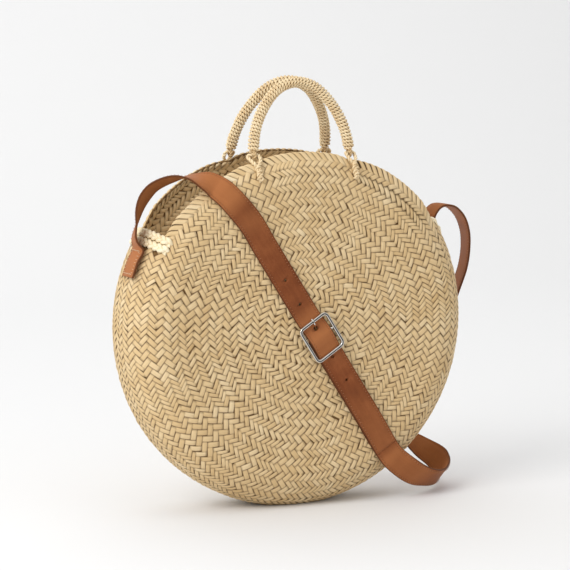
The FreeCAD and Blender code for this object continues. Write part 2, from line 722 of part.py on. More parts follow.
def tab_stitches(mirror):
    """A rectangle of stitches on the outside of a tab; mirror is -1 on the left."""
    offset = mirror * size("tab_offset")
    level = strap_thickness + size("strap_clearance") + thread_radius
    radius = size("body_radius") + level
    box_width = size("strap_width") - 2 * size("seam_margin")
    tab_length = math.radians(size("tab_high") - size("tab_low")) * size("body_radius")
    box_length = tab_length - 2 * size("seam_margin")
    places = [(sign * 0.5 * box_length, share * box_width, 0)
              for sign in (-1, 1) for share in evenly(box_width)]
    places += [(share * box_length, sign * 0.5 * box_width, 1)
               for sign in (-1, 1) for share in evenly(box_length)]
    stitches = []
    for along, across, lengthways in places:
        turn = math.radians(tab_middle) + along / radius
        out = outline_radius(turn) + level
        point = Vector(mirror * out * math.cos(turn), offset + across, middle + out * math.sin(turn))
        up = Vector(-mirror * math.sin(turn), 0, math.cos(turn))
        stitches.append(stitch(point, up if lengthways else Vector(0, 1, 0)))
    return Part.makeCompound(stitches)


keep("left_tab_stitches", solid("left_sewing", tab_stitches(-1)))
keep("right_tab_stitches", solid("right_sewing", tab_stitches(1)))
fold_row = size("fold_flap") - size("seam_margin")
fold_sewing = solid("fold_sewing", Part.makeCompound([
    stitch(Vector(fold_row, share * (size("strap_width") - 2 * size("seam_margin")),
                  strap_thickness + thread_radius), Vector(0, 1, 0))
    for share in evenly(size("strap_width") - 2 * size("seam_margin"))]))
fold_sewing.Placement = buckle_place
keep("fold_stitches", fold_sewing)

# Backing patches: leather inside the gusset behind each tab

patch_outside = pillow("patch_outside", ["wall", "seat_gap"])
patch_inside = pillow("patch_inside", ["wall", "seat_gap", "patch_thickness"])
patch_layer = combine("Cut", "patch_layer", patch_outside, patch_inside)
tab_height = "sizes.body_radius - sizes.rest_sink + sizes.body_radius * sin(sizes.tab_%s)"
patch_heights = tuple((tab_height + " - sizes.patch_margin") % end for end in ("low", "high"))
for side, sign, sides in (("left", "-", ("-2 * sizes.body_radius", "0")),
                          ("right", "", ("0", "2 * sizes.body_radius"))):
    patch_width = tuple("%ssizes.tab_offset %s sizes.strap_width / 2" % (sign, edge) for edge in "-+")
    block = region(side + "_patch_block", sides, patch_width, patch_heights)
    keep(side + "_backing_patch", combine("Common", side + "_backing_patch", patch_layer, block))

doc.recompute()
for item in doc.Objects:
    if "Invalid" in item.State or "Error" in item.State:
        raise RuntimeError("%s failed: %s" % (item.Label, item.State))
for name, item in nodes.items():
    if item.Shape.isNull() or not item.Shape.isValid() or not item.Shape.Solids:
        raise RuntimeError("%s has no sound solid" % name)

os.makedirs("parts", exist_ok=True)
for name, item in nodes.items():
    item.Shape.exportStep("parts/%s.step" % name)
    print("%-24s solids %2d  volume %10.1f" % (name, len(item.Shape.Solids), item.Shape.Volume))
print("handle pivot y %.3f z %.3f" % (rim_y, pivot_z))
prong_pivot = buckle_place.multVec(Vector(0, 0, pin_level))
print("prong pivot", [round(value, 4) for value in prong_pivot])
print("prong axis", [round(value, 5) for value in buckle_across])
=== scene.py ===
import math

import bmesh
import bpy
import numpy as np
from mathutils import Matrix, Vector


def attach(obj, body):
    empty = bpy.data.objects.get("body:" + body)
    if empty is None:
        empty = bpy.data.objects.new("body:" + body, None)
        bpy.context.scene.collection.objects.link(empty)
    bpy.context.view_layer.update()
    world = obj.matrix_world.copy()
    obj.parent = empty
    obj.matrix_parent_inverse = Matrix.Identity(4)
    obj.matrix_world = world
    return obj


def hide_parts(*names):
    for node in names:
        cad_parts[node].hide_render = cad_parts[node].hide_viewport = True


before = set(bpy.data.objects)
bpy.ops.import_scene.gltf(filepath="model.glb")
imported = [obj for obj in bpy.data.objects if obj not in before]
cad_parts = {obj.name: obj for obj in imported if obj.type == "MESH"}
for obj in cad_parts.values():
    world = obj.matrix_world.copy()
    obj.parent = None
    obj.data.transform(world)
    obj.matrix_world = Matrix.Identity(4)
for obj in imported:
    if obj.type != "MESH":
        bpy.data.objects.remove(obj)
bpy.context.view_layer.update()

# Front and back panels
# Palm-leaf strips plaited slantwise in rings about each panel's middle, every ring slanting the other
# way from the one before, with strips laid in as the rings grow. Dark gaps show the layer underneath,
# which is painted dark as the shade between the strips.

AXIS_HEIGHT = 0.182
BODY_RADIUS = 0.185
CORNER_RADIUS = 0.175
CORNER_START, CORNER_END = math.radians(15), math.radians(60)
HALF_DEPTH = 0.045
SHOULDER = 0.040
FLAT = BODY_RADIUS - SHOULDER
HALF_GIRTH = FLAT + SHOULDER * math.pi / 2 + HALF_DEPTH - SHOULDER
SEAM_WAY = FLAT + SHOULDER * (math.pi / 2 - math.asin((0.031 - HALF_DEPTH + SHOULDER) / SHOULDER))
RING_COUNT = 55
RING_WIDTH = 2 * HALF_GIRTH / RING_COUNT
PANEL_RINGS = 23
STRIP_SPACING, STRIP_LENGTH, STRIP_WIDTH = 0.0066, 0.0121, 0.0048
STRIP_ARCH, STRIP_CROWN, STRIP_WANDER = 0.0010, 0.0006, 0.00015
MOUTH_ANGLE = math.radians(32.5)
FOOT = 0.052
EDGE_SPRING, EDGE_REACH, EDGE_MARGIN = 0.0036, 0.032, 0.0005
TIE_DIP, TIE_DIP_WIDTH = 0.0026, 0.009
GROUND_TOP, GROUND_BOTTOM = -0.0012, -0.0030
OUTER_LEVEL, INNER_LEVEL = -0.0009, -0.0034
FAMILIES = 997
FLOOR_GAP = 0.0002


def outline(angle):
    """Distance from the bag's axis to its outline, at angles above the right-hand side."""
    across, up = np.abs(np.cos(angle)), np.sin(angle)
    shift = BODY_RADIUS - CORNER_RADIUS
    corner = shift * np.array([math.cos(CORNER_START), math.sin(CORNER_START)])
    spread = corner[0] / math.cos(CORNER_END)
    crown = np.array([0.0, corner[1] - spread * math.sin(CORNER_END)])

    def reach(centre, radius):
        along = across * centre[0] + up * centre[1]
        return along + np.sqrt(along ** 2 - centre @ centre + radius ** 2)

    at_corner = reach(corner, CORNER_RADIUS)
    turn = np.arctan2(up * at_corner - corner[1], across * at_corner - corner[0])
    upper = np.where(turn > CORNER_END, reach(crown, CORNER_RADIUS + spread), at_corner)
    return np.where(up <= math.sin(CORNER_START), BODY_RADIUS, upper)


def ease(value, low, high):
    """0 below low, 1 above high and a smooth rise between them."""
    share = np.clip((value - low) / (high - low), 0, 1)
    return share * share * (3 - 2 * share)


def free_edge(side, facing, angle):
    """How far the panel stands out near its free edge: it springs up beside the handles, dips under
    their ties, and lies flat where the strap crosses it."""
    above, turn = np.degrees(np.arcsin(np.sin(angle))), np.degrees(angle) % 360
    spring = EDGE_SPRING * ease(above, 33, 43) * (1 - 0.7 * ease(above, 58, 72))
    strap = np.where(facing < 0, ease(turn, 112, 118) * (1 - ease(turn, 134, 142)), 0)
    from_tie = np.abs(np.cos(angle)) * outline(angle) * 0.955 - FOOT
    dip = TIE_DIP * np.exp(-(from_tie / TIE_DIP_WIDTH) ** 2) * (above > 45)
    return (spring * (1 - strap) - dip) * ease(side, SEAM_WAY - EDGE_REACH, SEAM_WAY)


def skin(way, angle, lift):
    """Points and outward normals of the bag. The way runs from the front panel's middle over the gusset
    to the back's."""
    way, angle = np.broadcast_arrays(np.asarray(way, float), np.asarray(angle, float))
    facing = np.where(way > HALF_GIRTH, 1.0, -1.0)
    side = np.where(way > HALF_GIRTH, 2 * HALF_GIRTH - way, way)
    lift = lift + np.where(side <= SEAM_WAY + EDGE_MARGIN, free_edge(side, facing, angle), 0)
    turn = np.clip((side - FLAT) / SHOULDER, 0, math.pi / 2)
    radius = (outline(angle) - SHOULDER) * np.clip(side / FLAT, 0, 1) + SHOULDER * np.sin(turn)
    depth = HALF_DEPTH - SHOULDER + SHOULDER * np.cos(turn)
    depth = depth - np.clip(side - FLAT - SHOULDER * math.pi / 2, 0, None)
    normal = np.stack([np.sin(turn) * np.cos(angle), facing * np.cos(turn), np.sin(turn) * np.sin(angle)], -1)
    point = np.stack([radius * np.cos(angle), facing * depth, radius * np.sin(angle) + AXIS_HEIGHT], -1)
    return point + normal * np.asarray(lift)[..., None], normal


def plait_rings():
    """Angles, spacing and strip numbers in each ring from a panel's middle out to the girth."""
    chance = np.random.default_rng(11)
    circle = np.linspace(0, 2 * math.pi, 3601)
    drift = np.zeros_like(circle)
    rings, count, laid_in = [], 0, 0.0
    for ring in range(RING_COUNT // 2 + 1):
        side = (ring + 0.5) * RING_WIDTH
        radius = min(side, FLAT) + SHOULDER * math.sin(min(max((side - FLAT) / SHOULDER, 0), math.pi / 2))
        wanted = max(4, round(2 * math.pi * radius / STRIP_SPACING))
        if count > 45:
            drift *= 0.8
            width = 3 * 2 * math.pi / wanted
            for _ in range(wanted - count):
                laid_in += 2 * math.pi * 0.618034
                place = (laid_in + chance.normal(0, 0.1)) % (2 * math.pi)
                for lap in (-2 * math.pi, 0, 2 * math.pi):
                    drift += np.clip((circle - place - lap) / width + 0.5, 0, 1)
            drift -= (wanted - count) * circle / (2 * math.pi)
            drift -= round(drift.mean())
        count = wanted
        phase = np.maximum.accumulate(count * circle / (2 * math.pi) + drift)
        shift = 0.5 * (ring % 2)
        marks = math.ceil(phase[0] - shift) + shift + np.arange(count)
        angles = np.interp(marks, phase, circle)
        slope = np.interp(angles, circle, np.gradient(phase, circle))
        spacing = np.clip(radius / np.maximum(slope, 0.1), 0.76 * STRIP_SPACING, 1.3 * STRIP_SPACING)
        rings.append((angles, spacing, np.round(marks).astype(int)))
    return rings


RINGS = plait_rings()


def plait(numbers, wanted, seed):
    """Places of the strips of some rings, counted from the front's middle to the back's."""
    chance = np.random.default_rng(seed)
    family = np.random.default_rng(5).normal(0, 1, FAMILIES)
    rows = []
    for number in numbers:
        ring = min(number, RING_COUNT - 1 - number)
        angles, spacing, marks = RINGS[ring]
        lean = 1 if number % 2 == 0 else -1
        slant = lean * math.radians(45) + chance.normal(0, 0.03, len(angles))
        tone = 0.55 + 0.06 * family[(marks - lean * ring) % FAMILIES] + chance.normal(0, 0.05, len(angles))
        way = np.full(len(angles), (number + 0.5) * RING_WIDTH) + chance.normal(0, STRIP_WANDER, len(angles))
        rows.append(np.stack([way, angles, spacing, slant, np.clip(tone, 0.02, 0.98)], -1))
    field = np.concatenate(rows)
    return field[wanted(field[:, 0], field[:, 1])]


class Wire:
    """A node socket that takes Python's operators, and makes any other node in the same tree."""

    def __init__(self, tree, socket=None):
        self.tree = tree
        self.socket = socket

    def node(self, kind, settings=None, inputs=None, output=0):
        made = self.tree.nodes.new(kind)
        for name, value in (settings or {}).items():
            if name == "stops":
                ramp = made.color_ramp
                while len(ramp.elements) < len(value):
                    ramp.elements.new(1.0)
                for element, (place, colour) in zip(ramp.elements, value):
                    element.position = place
                    element.color = (*colour, 1.0)
            else:
                setattr(made, name, value)
        for name, value in (inputs or {}).items():
            if isinstance(value, Wire):
                self.tree.links.new(value.socket, made.inputs[name])
            else:
                made.inputs[name].default_value = value
        return Wire(self.tree, made.outputs[output]) if made.outputs else None

    def also(self, output):
        return Wire(self.tree, self.socket.node.outputs[output])

    def maths(self, operation, *values):
        return self.node("ShaderNodeMath", {"operation": operation}, dict(enumerate(values)))

    def __add__(self, other):
        return self.maths("ADD", self, other)

    def __sub__(self, other):
        return self.maths("SUBTRACT", self, other)

    def __rsub__(self, other):
        return self.maths("SUBTRACT", other, self)

    def __mul__(self, other):
        return self.maths("MULTIPLY", self, other)

    def __truediv__(self, other):
        return self.maths("DIVIDE", self, other)

    def __rtruediv__(self, other):
        return self.maths("DIVIDE", other, self)

    def __pow__(self, other):
        return self.maths("POWER", self, other)

    def __abs__(self):
        return self.maths("ABSOLUTE", self)

    def least(self, other):
        return self.maths("MINIMUM", self, other)

    def step(self, low, high):
        """0 below low, 1 above high and a smooth rise between them."""
        return self.node("ShaderNodeMapRange", {"interpolation_type": "SMOOTHSTEP"},
                         {"Value": self, "From Min": low, "From Max": high})

    def mix(self, other, share):
        """A colour turned towards another one by a share."""
        return self.node("ShaderNodeMix", {"data_type": "RGBA"}, {"Factor": share, 6: self, 7: other}, 2)

    __radd__ = __add__
    __rmul__ = __mul__


def finish_of(name):
    """A new material, with its first wire and its shader."""
    material = bpy.data.materials.new(name)
    material.use_nodes = True
    tree = material.node_tree
    tree.nodes.clear()
    shader = tree.nodes.new("ShaderNodeBsdfPrincipled")
    out = tree.nodes.new("ShaderNodeOutputMaterial")
    tree.links.new(shader.outputs[0], out.inputs[0])
    return material, Wire(tree), shader


def feed(shader, **wires):
    """Joins wires to the shader's sockets, or sets them to plain values."""
    for name, value in wires.items():
        socket = shader.inputs[name.replace("_", " ")]
        if isinstance(value, Wire):
            value.tree.links.new(value.socket, socket)
        else:
            socket.default_value = value


def straw_finish(name, stops, depth, through=(0.0, 0.0, 0.0, 1.0)):
    """Dry palm leaf: each strip has its own tone and fine fibres, with painted shade at its edges and ends.
    """
    material, start, shader = finish_of(name)
    tone = start.node("ShaderNodeAttribute", {"attribute_name": "tone"}, output="Fac")
    place = start.node("ShaderNodeAttribute", {"attribute_name": "strip_place"}, output="Vector")
    parts = start.node("ShaderNodeSeparateXYZ", inputs={0: place})
    along, across = parts, parts.also(1)
    vein_place = start.node("ShaderNodeCombineXYZ",
                            inputs={0: along * 1.6 + tone * 61.0, 1: across * 11.0, 2: tone * 97.0})
    veins = start.node("ShaderNodeTexNoise", {"noise_dimensions": "3D"},
                       {"Vector": vein_place, "Scale": 1.0, "Detail": 3.0, "Roughness": 0.6})
    blotch_place = start.node("ShaderNodeTexCoord", output="Object")
    blotch = start.node("ShaderNodeTexNoise", {}, {"Vector": blotch_place, "Scale": 21.0, "Detail": 2.0})
    shade = tone + (veins - 0.5) * 0.5 + (blotch - 0.5) * 0.35
    colour = start.node("ShaderNodeValToRGB", {"stops": stops}, {0: shade})
    # Painted shade: each strip is darkened towards its edges and ends, where it tucks under its neighbours.
    edge = (across.least(1 - across)).step(0.0, 0.19)
    end = (along.least(1 - along)).step(0.02, 0.2)
    painted_edge_shade = 1 - (0.05 + edge * 0.95) * (0.5 + end * 0.5)
    colour = colour.mix((0.10, 0.048, 0.016, 1.0), painted_edge_shade * depth)
    bump = start.node("ShaderNodeBump", inputs={"Strength": 0.35, "Distance": 0.0004, "Height": veins})
    # Painted glow: the emission stands for light coming through the straw; it is black unless a colour is
    # given.
    feed(shader, Base_Color=colour, Roughness=0.62 + (veins - 0.5) * 0.3, Normal=bump,
         Specular_IOR_Level=0.35, Emission_Color=through, Emission_Strength=1.0)
    return material


STRAW = straw_finish("palm_leaf", [(0.0, (0.40, 0.235, 0.095)), (0.25, (0.565, 0.378, 0.172)),
                                   (0.55, (0.67, 0.485, 0.255)), (0.85, (0.775, 0.615, 0.38)),
                                   (1.0, (0.83, 0.72, 0.51))], 0.9)
# The inside copy of the palm leaf is painted a little brighter, with a faint painted glow, for light coming
# through the straw.
INNER_STRAW = straw_finish("palm_leaf_inside_painted_light", [(0.0, (0.46, 0.29, 0.13)), (0.35, (0.64, 0.46, 0.24)),
                                                (0.7, (0.75, 0.59, 0.35)), (1.0, (0.84, 0.71, 0.48))], 0.8,
                           (0.055, 0.039, 0.020, 1.0))


def start_tree(name, taken, lengths, counts, given):
    """A new tree and its inputs: some geometry, lengths, counts and a finish. It gives geometry too."""
    tree = bpy.data.node_groups.new(name, "GeometryNodeTree")
    inputs = [(taken, "Geometry")] + [(length, "Float") for length in lengths]
    inputs += [(count, "Int") for count in counts] + [("Finish", "Material")]
    for socket, kind in inputs:
        tree.interface.new_socket(socket, in_out="INPUT", socket_type="NodeSocket" + kind)
    tree.interface.new_socket(given, in_out="OUTPUT", socket_type="NodeSocketGeometry")
    entry = Wire(tree).node("NodeGroupInput")
    return tree, [entry.also(slot) for slot in range(len(inputs))]


def end_tree(shapes, finish, given):
    """Gives a tree's shapes as real ones, smooth and with their finish."""
    whole = shapes.node("GeometryNodeRealizeInstances", {}, {"Geometry": shapes})
    smooth = shapes.node("GeometryNodeSetShadeSmooth", {}, {"Geometry": whole, "Shade Smooth": True})
    done = shapes.node("GeometryNodeSetMaterial", {}, {"Geometry": smooth, "Material": finish})
    shapes.node("NodeGroupOutput", {}, {given: done})


def strip_tree():
    """Lays one curved strip on every point, turned and stretched as the point says."""
    tree, inputs = start_tree(
        "lay_strips", "Points",
        ("Strip length", "Strip width", "Arch", "Crown", "Fold start", "Fold radius", "Shear"),
        ("Steps",), "Strips")
    points, length, width, arch, crown, fold_start, fold_radius, shear, steps, finish = inputs
    grid = points.node("GeometryNodeMeshGrid", {},
                       {"Size X": length, "Size Y": width, "Vertices X": steps, "Vertices Y": 5})
    spot = points.node("ShaderNodeSeparateXYZ", inputs={0: points.node("GeometryNodeInputPosition")})
    along, across = spot / (length * 0.5), spot.also(1) / (width * 0.5)
    height = arch * (1 - along * along) - crown * abs(across) ** 3.0
    flat = spot.least(fold_start)
    bend = (spot - flat) / fold_radius
    far = fold_radius + height
    shaped = points.node("ShaderNodeCombineXYZ", inputs={
        0: flat + points.maths("SINE", bend) * far, 1: spot.also(1) + spot * shear,
        2: points.maths("COSINE", bend) * far - fold_radius})
    place = points.node("ShaderNodeCombineXYZ", inputs={0: along * 0.5 + 0.5, 1: across * 0.5 + 0.5})
    named = points.node("GeometryNodeStoreNamedAttribute", {"data_type": "FLOAT_VECTOR", "domain": "POINT"},
                        {"Geometry": grid, "Name": "strip_place", "Value": place})
    curved = points.node("GeometryNodeSetPosition", {}, {"Geometry": named, "Position": shaped})
    turn = points.node("GeometryNodeInputNamedAttribute", {"data_type": "QUATERNION"}, {"Name": "turn"})
    stretch = points.node("GeometryNodeInputNamedAttribute", {"data_type": "FLOAT_VECTOR"},
                          {"Name": "stretch"})
    laid = points.node("GeometryNodeInstanceOnPoints", {}, {"Points": points, "Instance": curved,
                                                            "Rotation": turn, "Scale": stretch})
    end_tree(laid, finish, "Strips")
    return tree


STRIP_TREE = strip_tree()


def placed(name, data):
    """A new object in the scene."""
    item = bpy.data.objects.new(name, data)
    bpy.context.scene.collection.objects.link(item)
    return item


def plain_mesh(item):
    """The mesh that an object's modifiers make of its own."""
    graph = bpy.context.evaluated_depsgraph_get()
    return bpy.data.meshes.new_from_object(item.evaluated_get(graph), preserve_all_data_layers=True,
                                           depsgraph=graph)


def made_by(tree, mesh, values):
    """The plain mesh that a tree makes of some points."""
    maker = placed("maker", mesh)
    modifier = maker.modifiers.new("make", "NODES")
    modifier.node_group = tree
    for item in tree.interface.items_tree:
        if item.in_out == "INPUT" and item.name in values:
            modifier[item.identifier] = values[item.name]
    made = plain_mesh(maker)
    bpy.data.objects.remove(maker)
    return made


def marked_points(name, points, **marks):
    """A mesh of bare points with values named on them."""
    mesh = bpy.data.meshes.new(name)
    mesh.from_pydata([tuple(point) for point in points], [], [])
    kinds = {1: ("FLOAT", "value"), 3: ("FLOAT_VECTOR", "vector"), 4: ("QUATERNION", "value")}
    for mark, values in marks.items():
        values = np.asarray(values, np.float32).reshape(len(points), -1)
        kind, field = kinds[values.shape[1]]
        mesh.attributes.new(mark, kind, "POINT").data.foreach_set(field, values.ravel())
    return mesh


def unit(rows):
    """Directions of length one."""
    return rows / np.linalg.norm(rows, axis=-1, keepdims=True)


def turns(along, out):
    """Quaternions that lay local x along the first directions, with local z near the second."""
    along = unit(along)
    across = unit(np.cross(out, along))
    up = np.cross(along, across)
    return [tuple(Matrix(axes).transposed().to_quaternion()) for axes in np.stack([along, across, up], 1)]


def settle(mesh):
    """Presses what would reach below the bag's flat rest up to just above the floor."""
    spots = np.empty(len(mesh.vertices) * 3, np.float32)
    mesh.vertices.foreach_get("co", spots)
    spots[2::3] = np.maximum(spots[2::3], FLOOR_GAP)
    mesh.vertices.foreach_set("co", spots)
    mesh.update()
    return mesh


def piece(name, mesh, body, slot, *nodes):
    """A finished piece that rides on a body and stands for some nodes. Its slot is not used."""
    made = placed(name, mesh)
    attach(made, body)
    if nodes:
        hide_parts(*nodes)
    return made


def plaited(name, field, lift, inward, finish):
    """Strips laid on the bag's skin at their slant; inward ones face into the bag."""
    way, angle, spacing, slant, tone = field.T
    spots, out = skin(way, angle, lift)
    around = np.stack([-np.sin(angle), np.zeros_like(angle), np.cos(angle)], -1)
    outward = np.cross(around, out)
    along = np.cos(slant)[:, None] * around + np.sin(slant)[:, None] * outward
    chance = np.random.default_rng(len(name))
    stretch = np.stack([chance.normal(1.0, spread, len(way)) for spread in (0.02, 0.03, 0.12)], -1)
    stretch[:, 1] *= spacing / STRIP_SPACING
    turn = turns(along, -out if inward else out)
    points = marked_points(name, spots, turn=turn, stretch=stretch, tone=tone)
    unfolded = {"Fold start": 1.0, "Fold radius": 0.01, "Shear": 0.0}
    return settle(made_by(STRIP_TREE, points, {
        "Strip length": STRIP_LENGTH, "Strip width": STRIP_WIDTH, "Arch": STRIP_ARCH, "Crown": STRIP_CROWN,
        **unfolded, "Steps": 7, "Finish": finish}))


def ground(name, ways, angles, outer, inner, finish, closed):
    """The layer under the strips: a thin wall over a stretch of the skin."""
    grid_way, grid_angle = np.meshgrid(ways, angles, indexing="ij")
    rows, columns = grid_way.shape
    spots = np.concatenate([skin(grid_way, grid_angle, lift)[0].reshape(-1, 3) for lift in (outer, inner)])
    faces = []

    def spot(side, row, column):
        return side * rows * columns + row * columns + column % columns

    last = columns if closed else columns - 1
    for row in range(rows - 1):
        for column in range(last):
            quad = [spot(0, row + down, column + aside) for down, aside in ((0, 0), (0, 1), (1, 1), (1, 0))]
            faces.append(quad)
            faces.append([number + rows * columns for number in quad[::-1]])
    rims = [[(row, column) for column in range(last + 1)] for row in (0, rows - 1)]
    if not closed:
        rims += [[(row, column) for row in range(rows)] for column in (0, columns - 1)]
    for rim in rims:
        for (row, column), (next_row, next_column) in zip(rim, rim[1:]):
            faces.append([spot(0, row, column), spot(0, next_row, next_column),
                          spot(1, next_row, next_column), spot(1, row, column)])
    mesh = bpy.data.meshes.new(name)
    mesh.from_pydata([tuple(place) for place in spots], [], faces)
    return tidy(mesh, finish)


def tidy(mesh, finish):
    """Merges doubled points, turns the faces outwards and gives the mesh its finish."""
    work = bmesh.new()
    work.from_mesh(mesh)
    bmesh.ops.remove_doubles(work, verts=work.verts, dist=1e-6)
    bmesh.ops.dissolve_degenerate(work, edges=work.edges, dist=1e-7)
    bmesh.ops.recalc_face_normals(work, faces=work.faces)
    work.to_mesh(mesh)
    work.free()
    mesh.materials.clear()
    mesh.materials.append(finish)
    for polygon in mesh.polygons:
        polygon.use_smooth = True
    return mesh


def gap_finish():
    """The layer seen in the gaps between strips, painted dark as the shade there."""
    material, start, shader = finish_of("palm_leaf_shade")
    place = start.node("ShaderNodeTexCoord", output="Object")
    speckle = start.node("ShaderNodeTexNoise", {}, {"Vector": place, "Scale": 260.0, "Detail": 3.0})
    # Painted shade: near-black browns for the shadowed gaps.
    stops = [(0.3, (0.07, 0.032, 0.011)), (0.7, (0.26, 0.15, 0.06))]
    colour = start.node("ShaderNodeValToRGB", {"stops": stops}, {0: speckle})
    feed(shader, Base_Color=colour, Roughness=0.9, Specular_IOR_Level=0.1)
    return material


SHADE = gap_finish()
FULL_CIRCLE = np.linspace(0, 2 * math.pi, 180, endpoint=False)


def in_mouth(angle, margin=0.0):
    """Whether angles lie over the bag's open mouth."""
    above = np.arcsin(np.sin(angle))
    return above > MOUTH_ANGLE - margin


for side, numbers in (("front", range(PANEL_RINGS)), ("back", range(RING_COUNT - PANEL_RINGS, RING_COUNT))):
    start_way = 0.0 if side == "front" else 2 * HALF_GIRTH - SEAM_WAY
    ways = np.linspace(start_way, start_way + SEAM_WAY, 26)
    under_plait = ground(side, ways, FULL_CIRCLE, GROUND_TOP, GROUND_BOTTOM, SHADE, True)
    piece(side + "_panel_ground", settle(under_plait), "bag", "palm_straw", side + "_panel")
    edge_ring = PANEL_RINGS - 1 if side == "front" else RING_COUNT - PANEL_RINGS
    rim_way = (edge_ring + 0.5) * RING_WIDTH
    outside = plait(
        numbers, lambda way, angle: ~(in_mouth(angle) & (np.abs(way - rim_way) < RING_WIDTH / 2)), 21)
    inside = plait(numbers, lambda way, angle: way > 0, 21)
    outer = plaited(side + "_outside", outside, OUTER_LEVEL, False, STRAW)
    piece(side + "_panel_plait", outer, "bag", "palm_straw")
    inner = plaited(side + "_inside", inside, INNER_LEVEL, True, INNER_STRAW)
    piece(side + "_panel_inside", inner, "bag", "palm_straw")

# Gusset
# The same plaiting of palm strips, carried on round under the bag as straight rings from one end of the
# mouth to the other. It joins the two panels without a seam.

BRAID_ROW, COVER_WIDTH = 0.009, 0.013
MOUTH_MARGIN, BRAID_MARGIN = 0.004, 0.012
ROW_ANGLE = BRAID_ROW / BODY_RADIUS
GUSSET_END = MOUTH_ANGLE - 2 * ROW_ANGLE
girth_ways = np.linspace(SEAM_WAY, 2 * HALF_GIRTH - SEAM_WAY, 16)
under = np.linspace(math.pi - GUSSET_END, 2 * math.pi + GUSSET_END, 120)
gusset_wall = ground("gusset", girth_ways, under, GROUND_TOP, GROUND_BOTTOM, SHADE, False)
piece("gusset_ground", settle(gusset_wall), "bag", "palm_straw", "gusset")
girth_rings = range(PANEL_RINGS, RING_COUNT - PANEL_RINGS)


def around_braids(way, angle):
    """Keeps the plaiting off the mouth's ends, but for two rings that cover the front end of the right
    braids."""
    covering = (way < SEAM_WAY + COVER_WIDTH) & (np.cos(angle) > 0)
    off_braids = ~in_mouth(angle, 2 * ROW_ANGLE + BRAID_MARGIN)
    return np.where(covering, ~in_mouth(angle, MOUTH_MARGIN), off_braids)


below_braids = plait(girth_rings, around_braids, 22)
outer = plaited("gusset_outside", below_braids, OUTER_LEVEL, False, STRAW)
piece("gusset_plait", outer, "bag", "palm_straw")
inner = plaited("gusset_inside", below_braids, INNER_LEVEL, True, INNER_STRAW)
piece("gusset_inside", inner, "bag", "palm_straw")

# Braids at the mouth's ends
# Two pale, plump three-strand braids close the gusset at each end of the mouth, sewn across from panel
# to panel.

BRAID_PITCH, BRAID_SWAY, BRAID_RISE, BRAID_STRAND = 0.0195, 0.0027, 0.0015, 0.0021
BRAID_SINK, END_TUCK, TAIL_LIFT, COVERED_TUCK = 0.001, 0.0026, 0.0022, 0.005
BRAID_LAP, BRAID_TAIL, BRAID_STEP = 0.001, 0.010, 0.0009
UNDER_BRAIDS = (-0.0018, -0.0036)


def cord_tree():
    """Turns every chain of edges into a round strand."""
    tree, inputs = start_tree("spin_cord", "Strands", ("Strand radius",), ("Sides",), "Cord")
    strands, radius, sides, finish = inputs
    lines = strands.node("GeometryNodeMeshToCurve", {}, {"Mesh": strands})
    way = strands.node("GeometryNodeSplineParameter", output="Length")
    lines = strands.node("GeometryNodeStoreNamedAttribute", {"data_type": "FLOAT", "domain": "POINT"},
                         {"Geometry": lines, "Name": "strand_way", "Value": way})
    ring = strands.node("GeometryNodeCurvePrimitiveCircle", {}, {"Resolution": sides, "Radius": radius})
    around = strands.node("GeometryNodeSplineParameter", output="Factor")
    ring = strands.node("GeometryNodeStoreNamedAttribute", {"data_type": "FLOAT", "domain": "POINT"},
                        {"Geometry": ring, "Name": "strand_turn", "Value": around})
    tube = strands.node("GeometryNodeCurveToMesh", {},
                        {"Curve": lines, "Profile Curve": ring, "Fill Caps": True})
    end_tree(tube, finish, "Cord")
    return tree


CORD_TREE = cord_tree()


def corded(name, lines, radius, finish, sides=6, closed=False):
    """A mesh of round strands along lines of points."""
    points, edges = [], []
    for line in lines:
        first = len(points)
        points += [tuple(point) for point in line]
        edges += [(number, number + 1) for number in range(first, len(points) - 1)]
        if closed:
            edges.append((len(points) - 1, first))
    mesh = bpy.data.meshes.new(name)
    mesh.from_pydata(points, edges, [])
    return made_by(CORD_TREE, mesh, {"Strand radius": radius, "Sides": sides, "Finish": finish})


def cord_finish(name, stops):
    """Twisted palm fibre: fine streaks along each strand and broader patches of shade."""
    material, start, shader = finish_of(name)
    way = start.node("ShaderNodeAttribute", {"attribute_name": "strand_way"}, output="Fac")
    turn = start.node("ShaderNodeAttribute", {"attribute_name": "strand_turn"}, output="Fac")
    fibre_place = start.node("ShaderNodeCombineXYZ", inputs={0: way * 320.0, 1: abs(turn - 0.5) * 14.0})
    fibre = start.node("ShaderNodeTexNoise", {},
                       {"Vector": fibre_place, "Scale": 1.0, "Detail": 3.0, "Roughness": 0.6})
    place = start.node("ShaderNodeTexCoord", output="Object")
    patch = start.node("ShaderNodeTexNoise", {}, {"Vector": place, "Scale": 75.0, "Detail": 2.0})
    shade = 0.5 + (fibre - 0.5) * 0.9 + (patch - 0.5) * 0.8
    colour = start.node("ShaderNodeValToRGB", {"stops": stops}, {0: shade})
    bump = start.node("ShaderNodeBump", inputs={"Strength": 0.5, "Distance": 0.0003, "Height": fibre})
    feed(shader, Base_Color=colour, Roughness=0.7, Normal=bump, Specular_IOR_Level=0.3)
    return material


BRAID = cord_finish("pale_braid", [(0.1, (0.62, 0.46, 0.25)), (0.4, (0.86, 0.73, 0.49)),
                                   (0.7, (0.94, 0.84, 0.62)), (1.0, (0.96, 0.90, 0.74))])

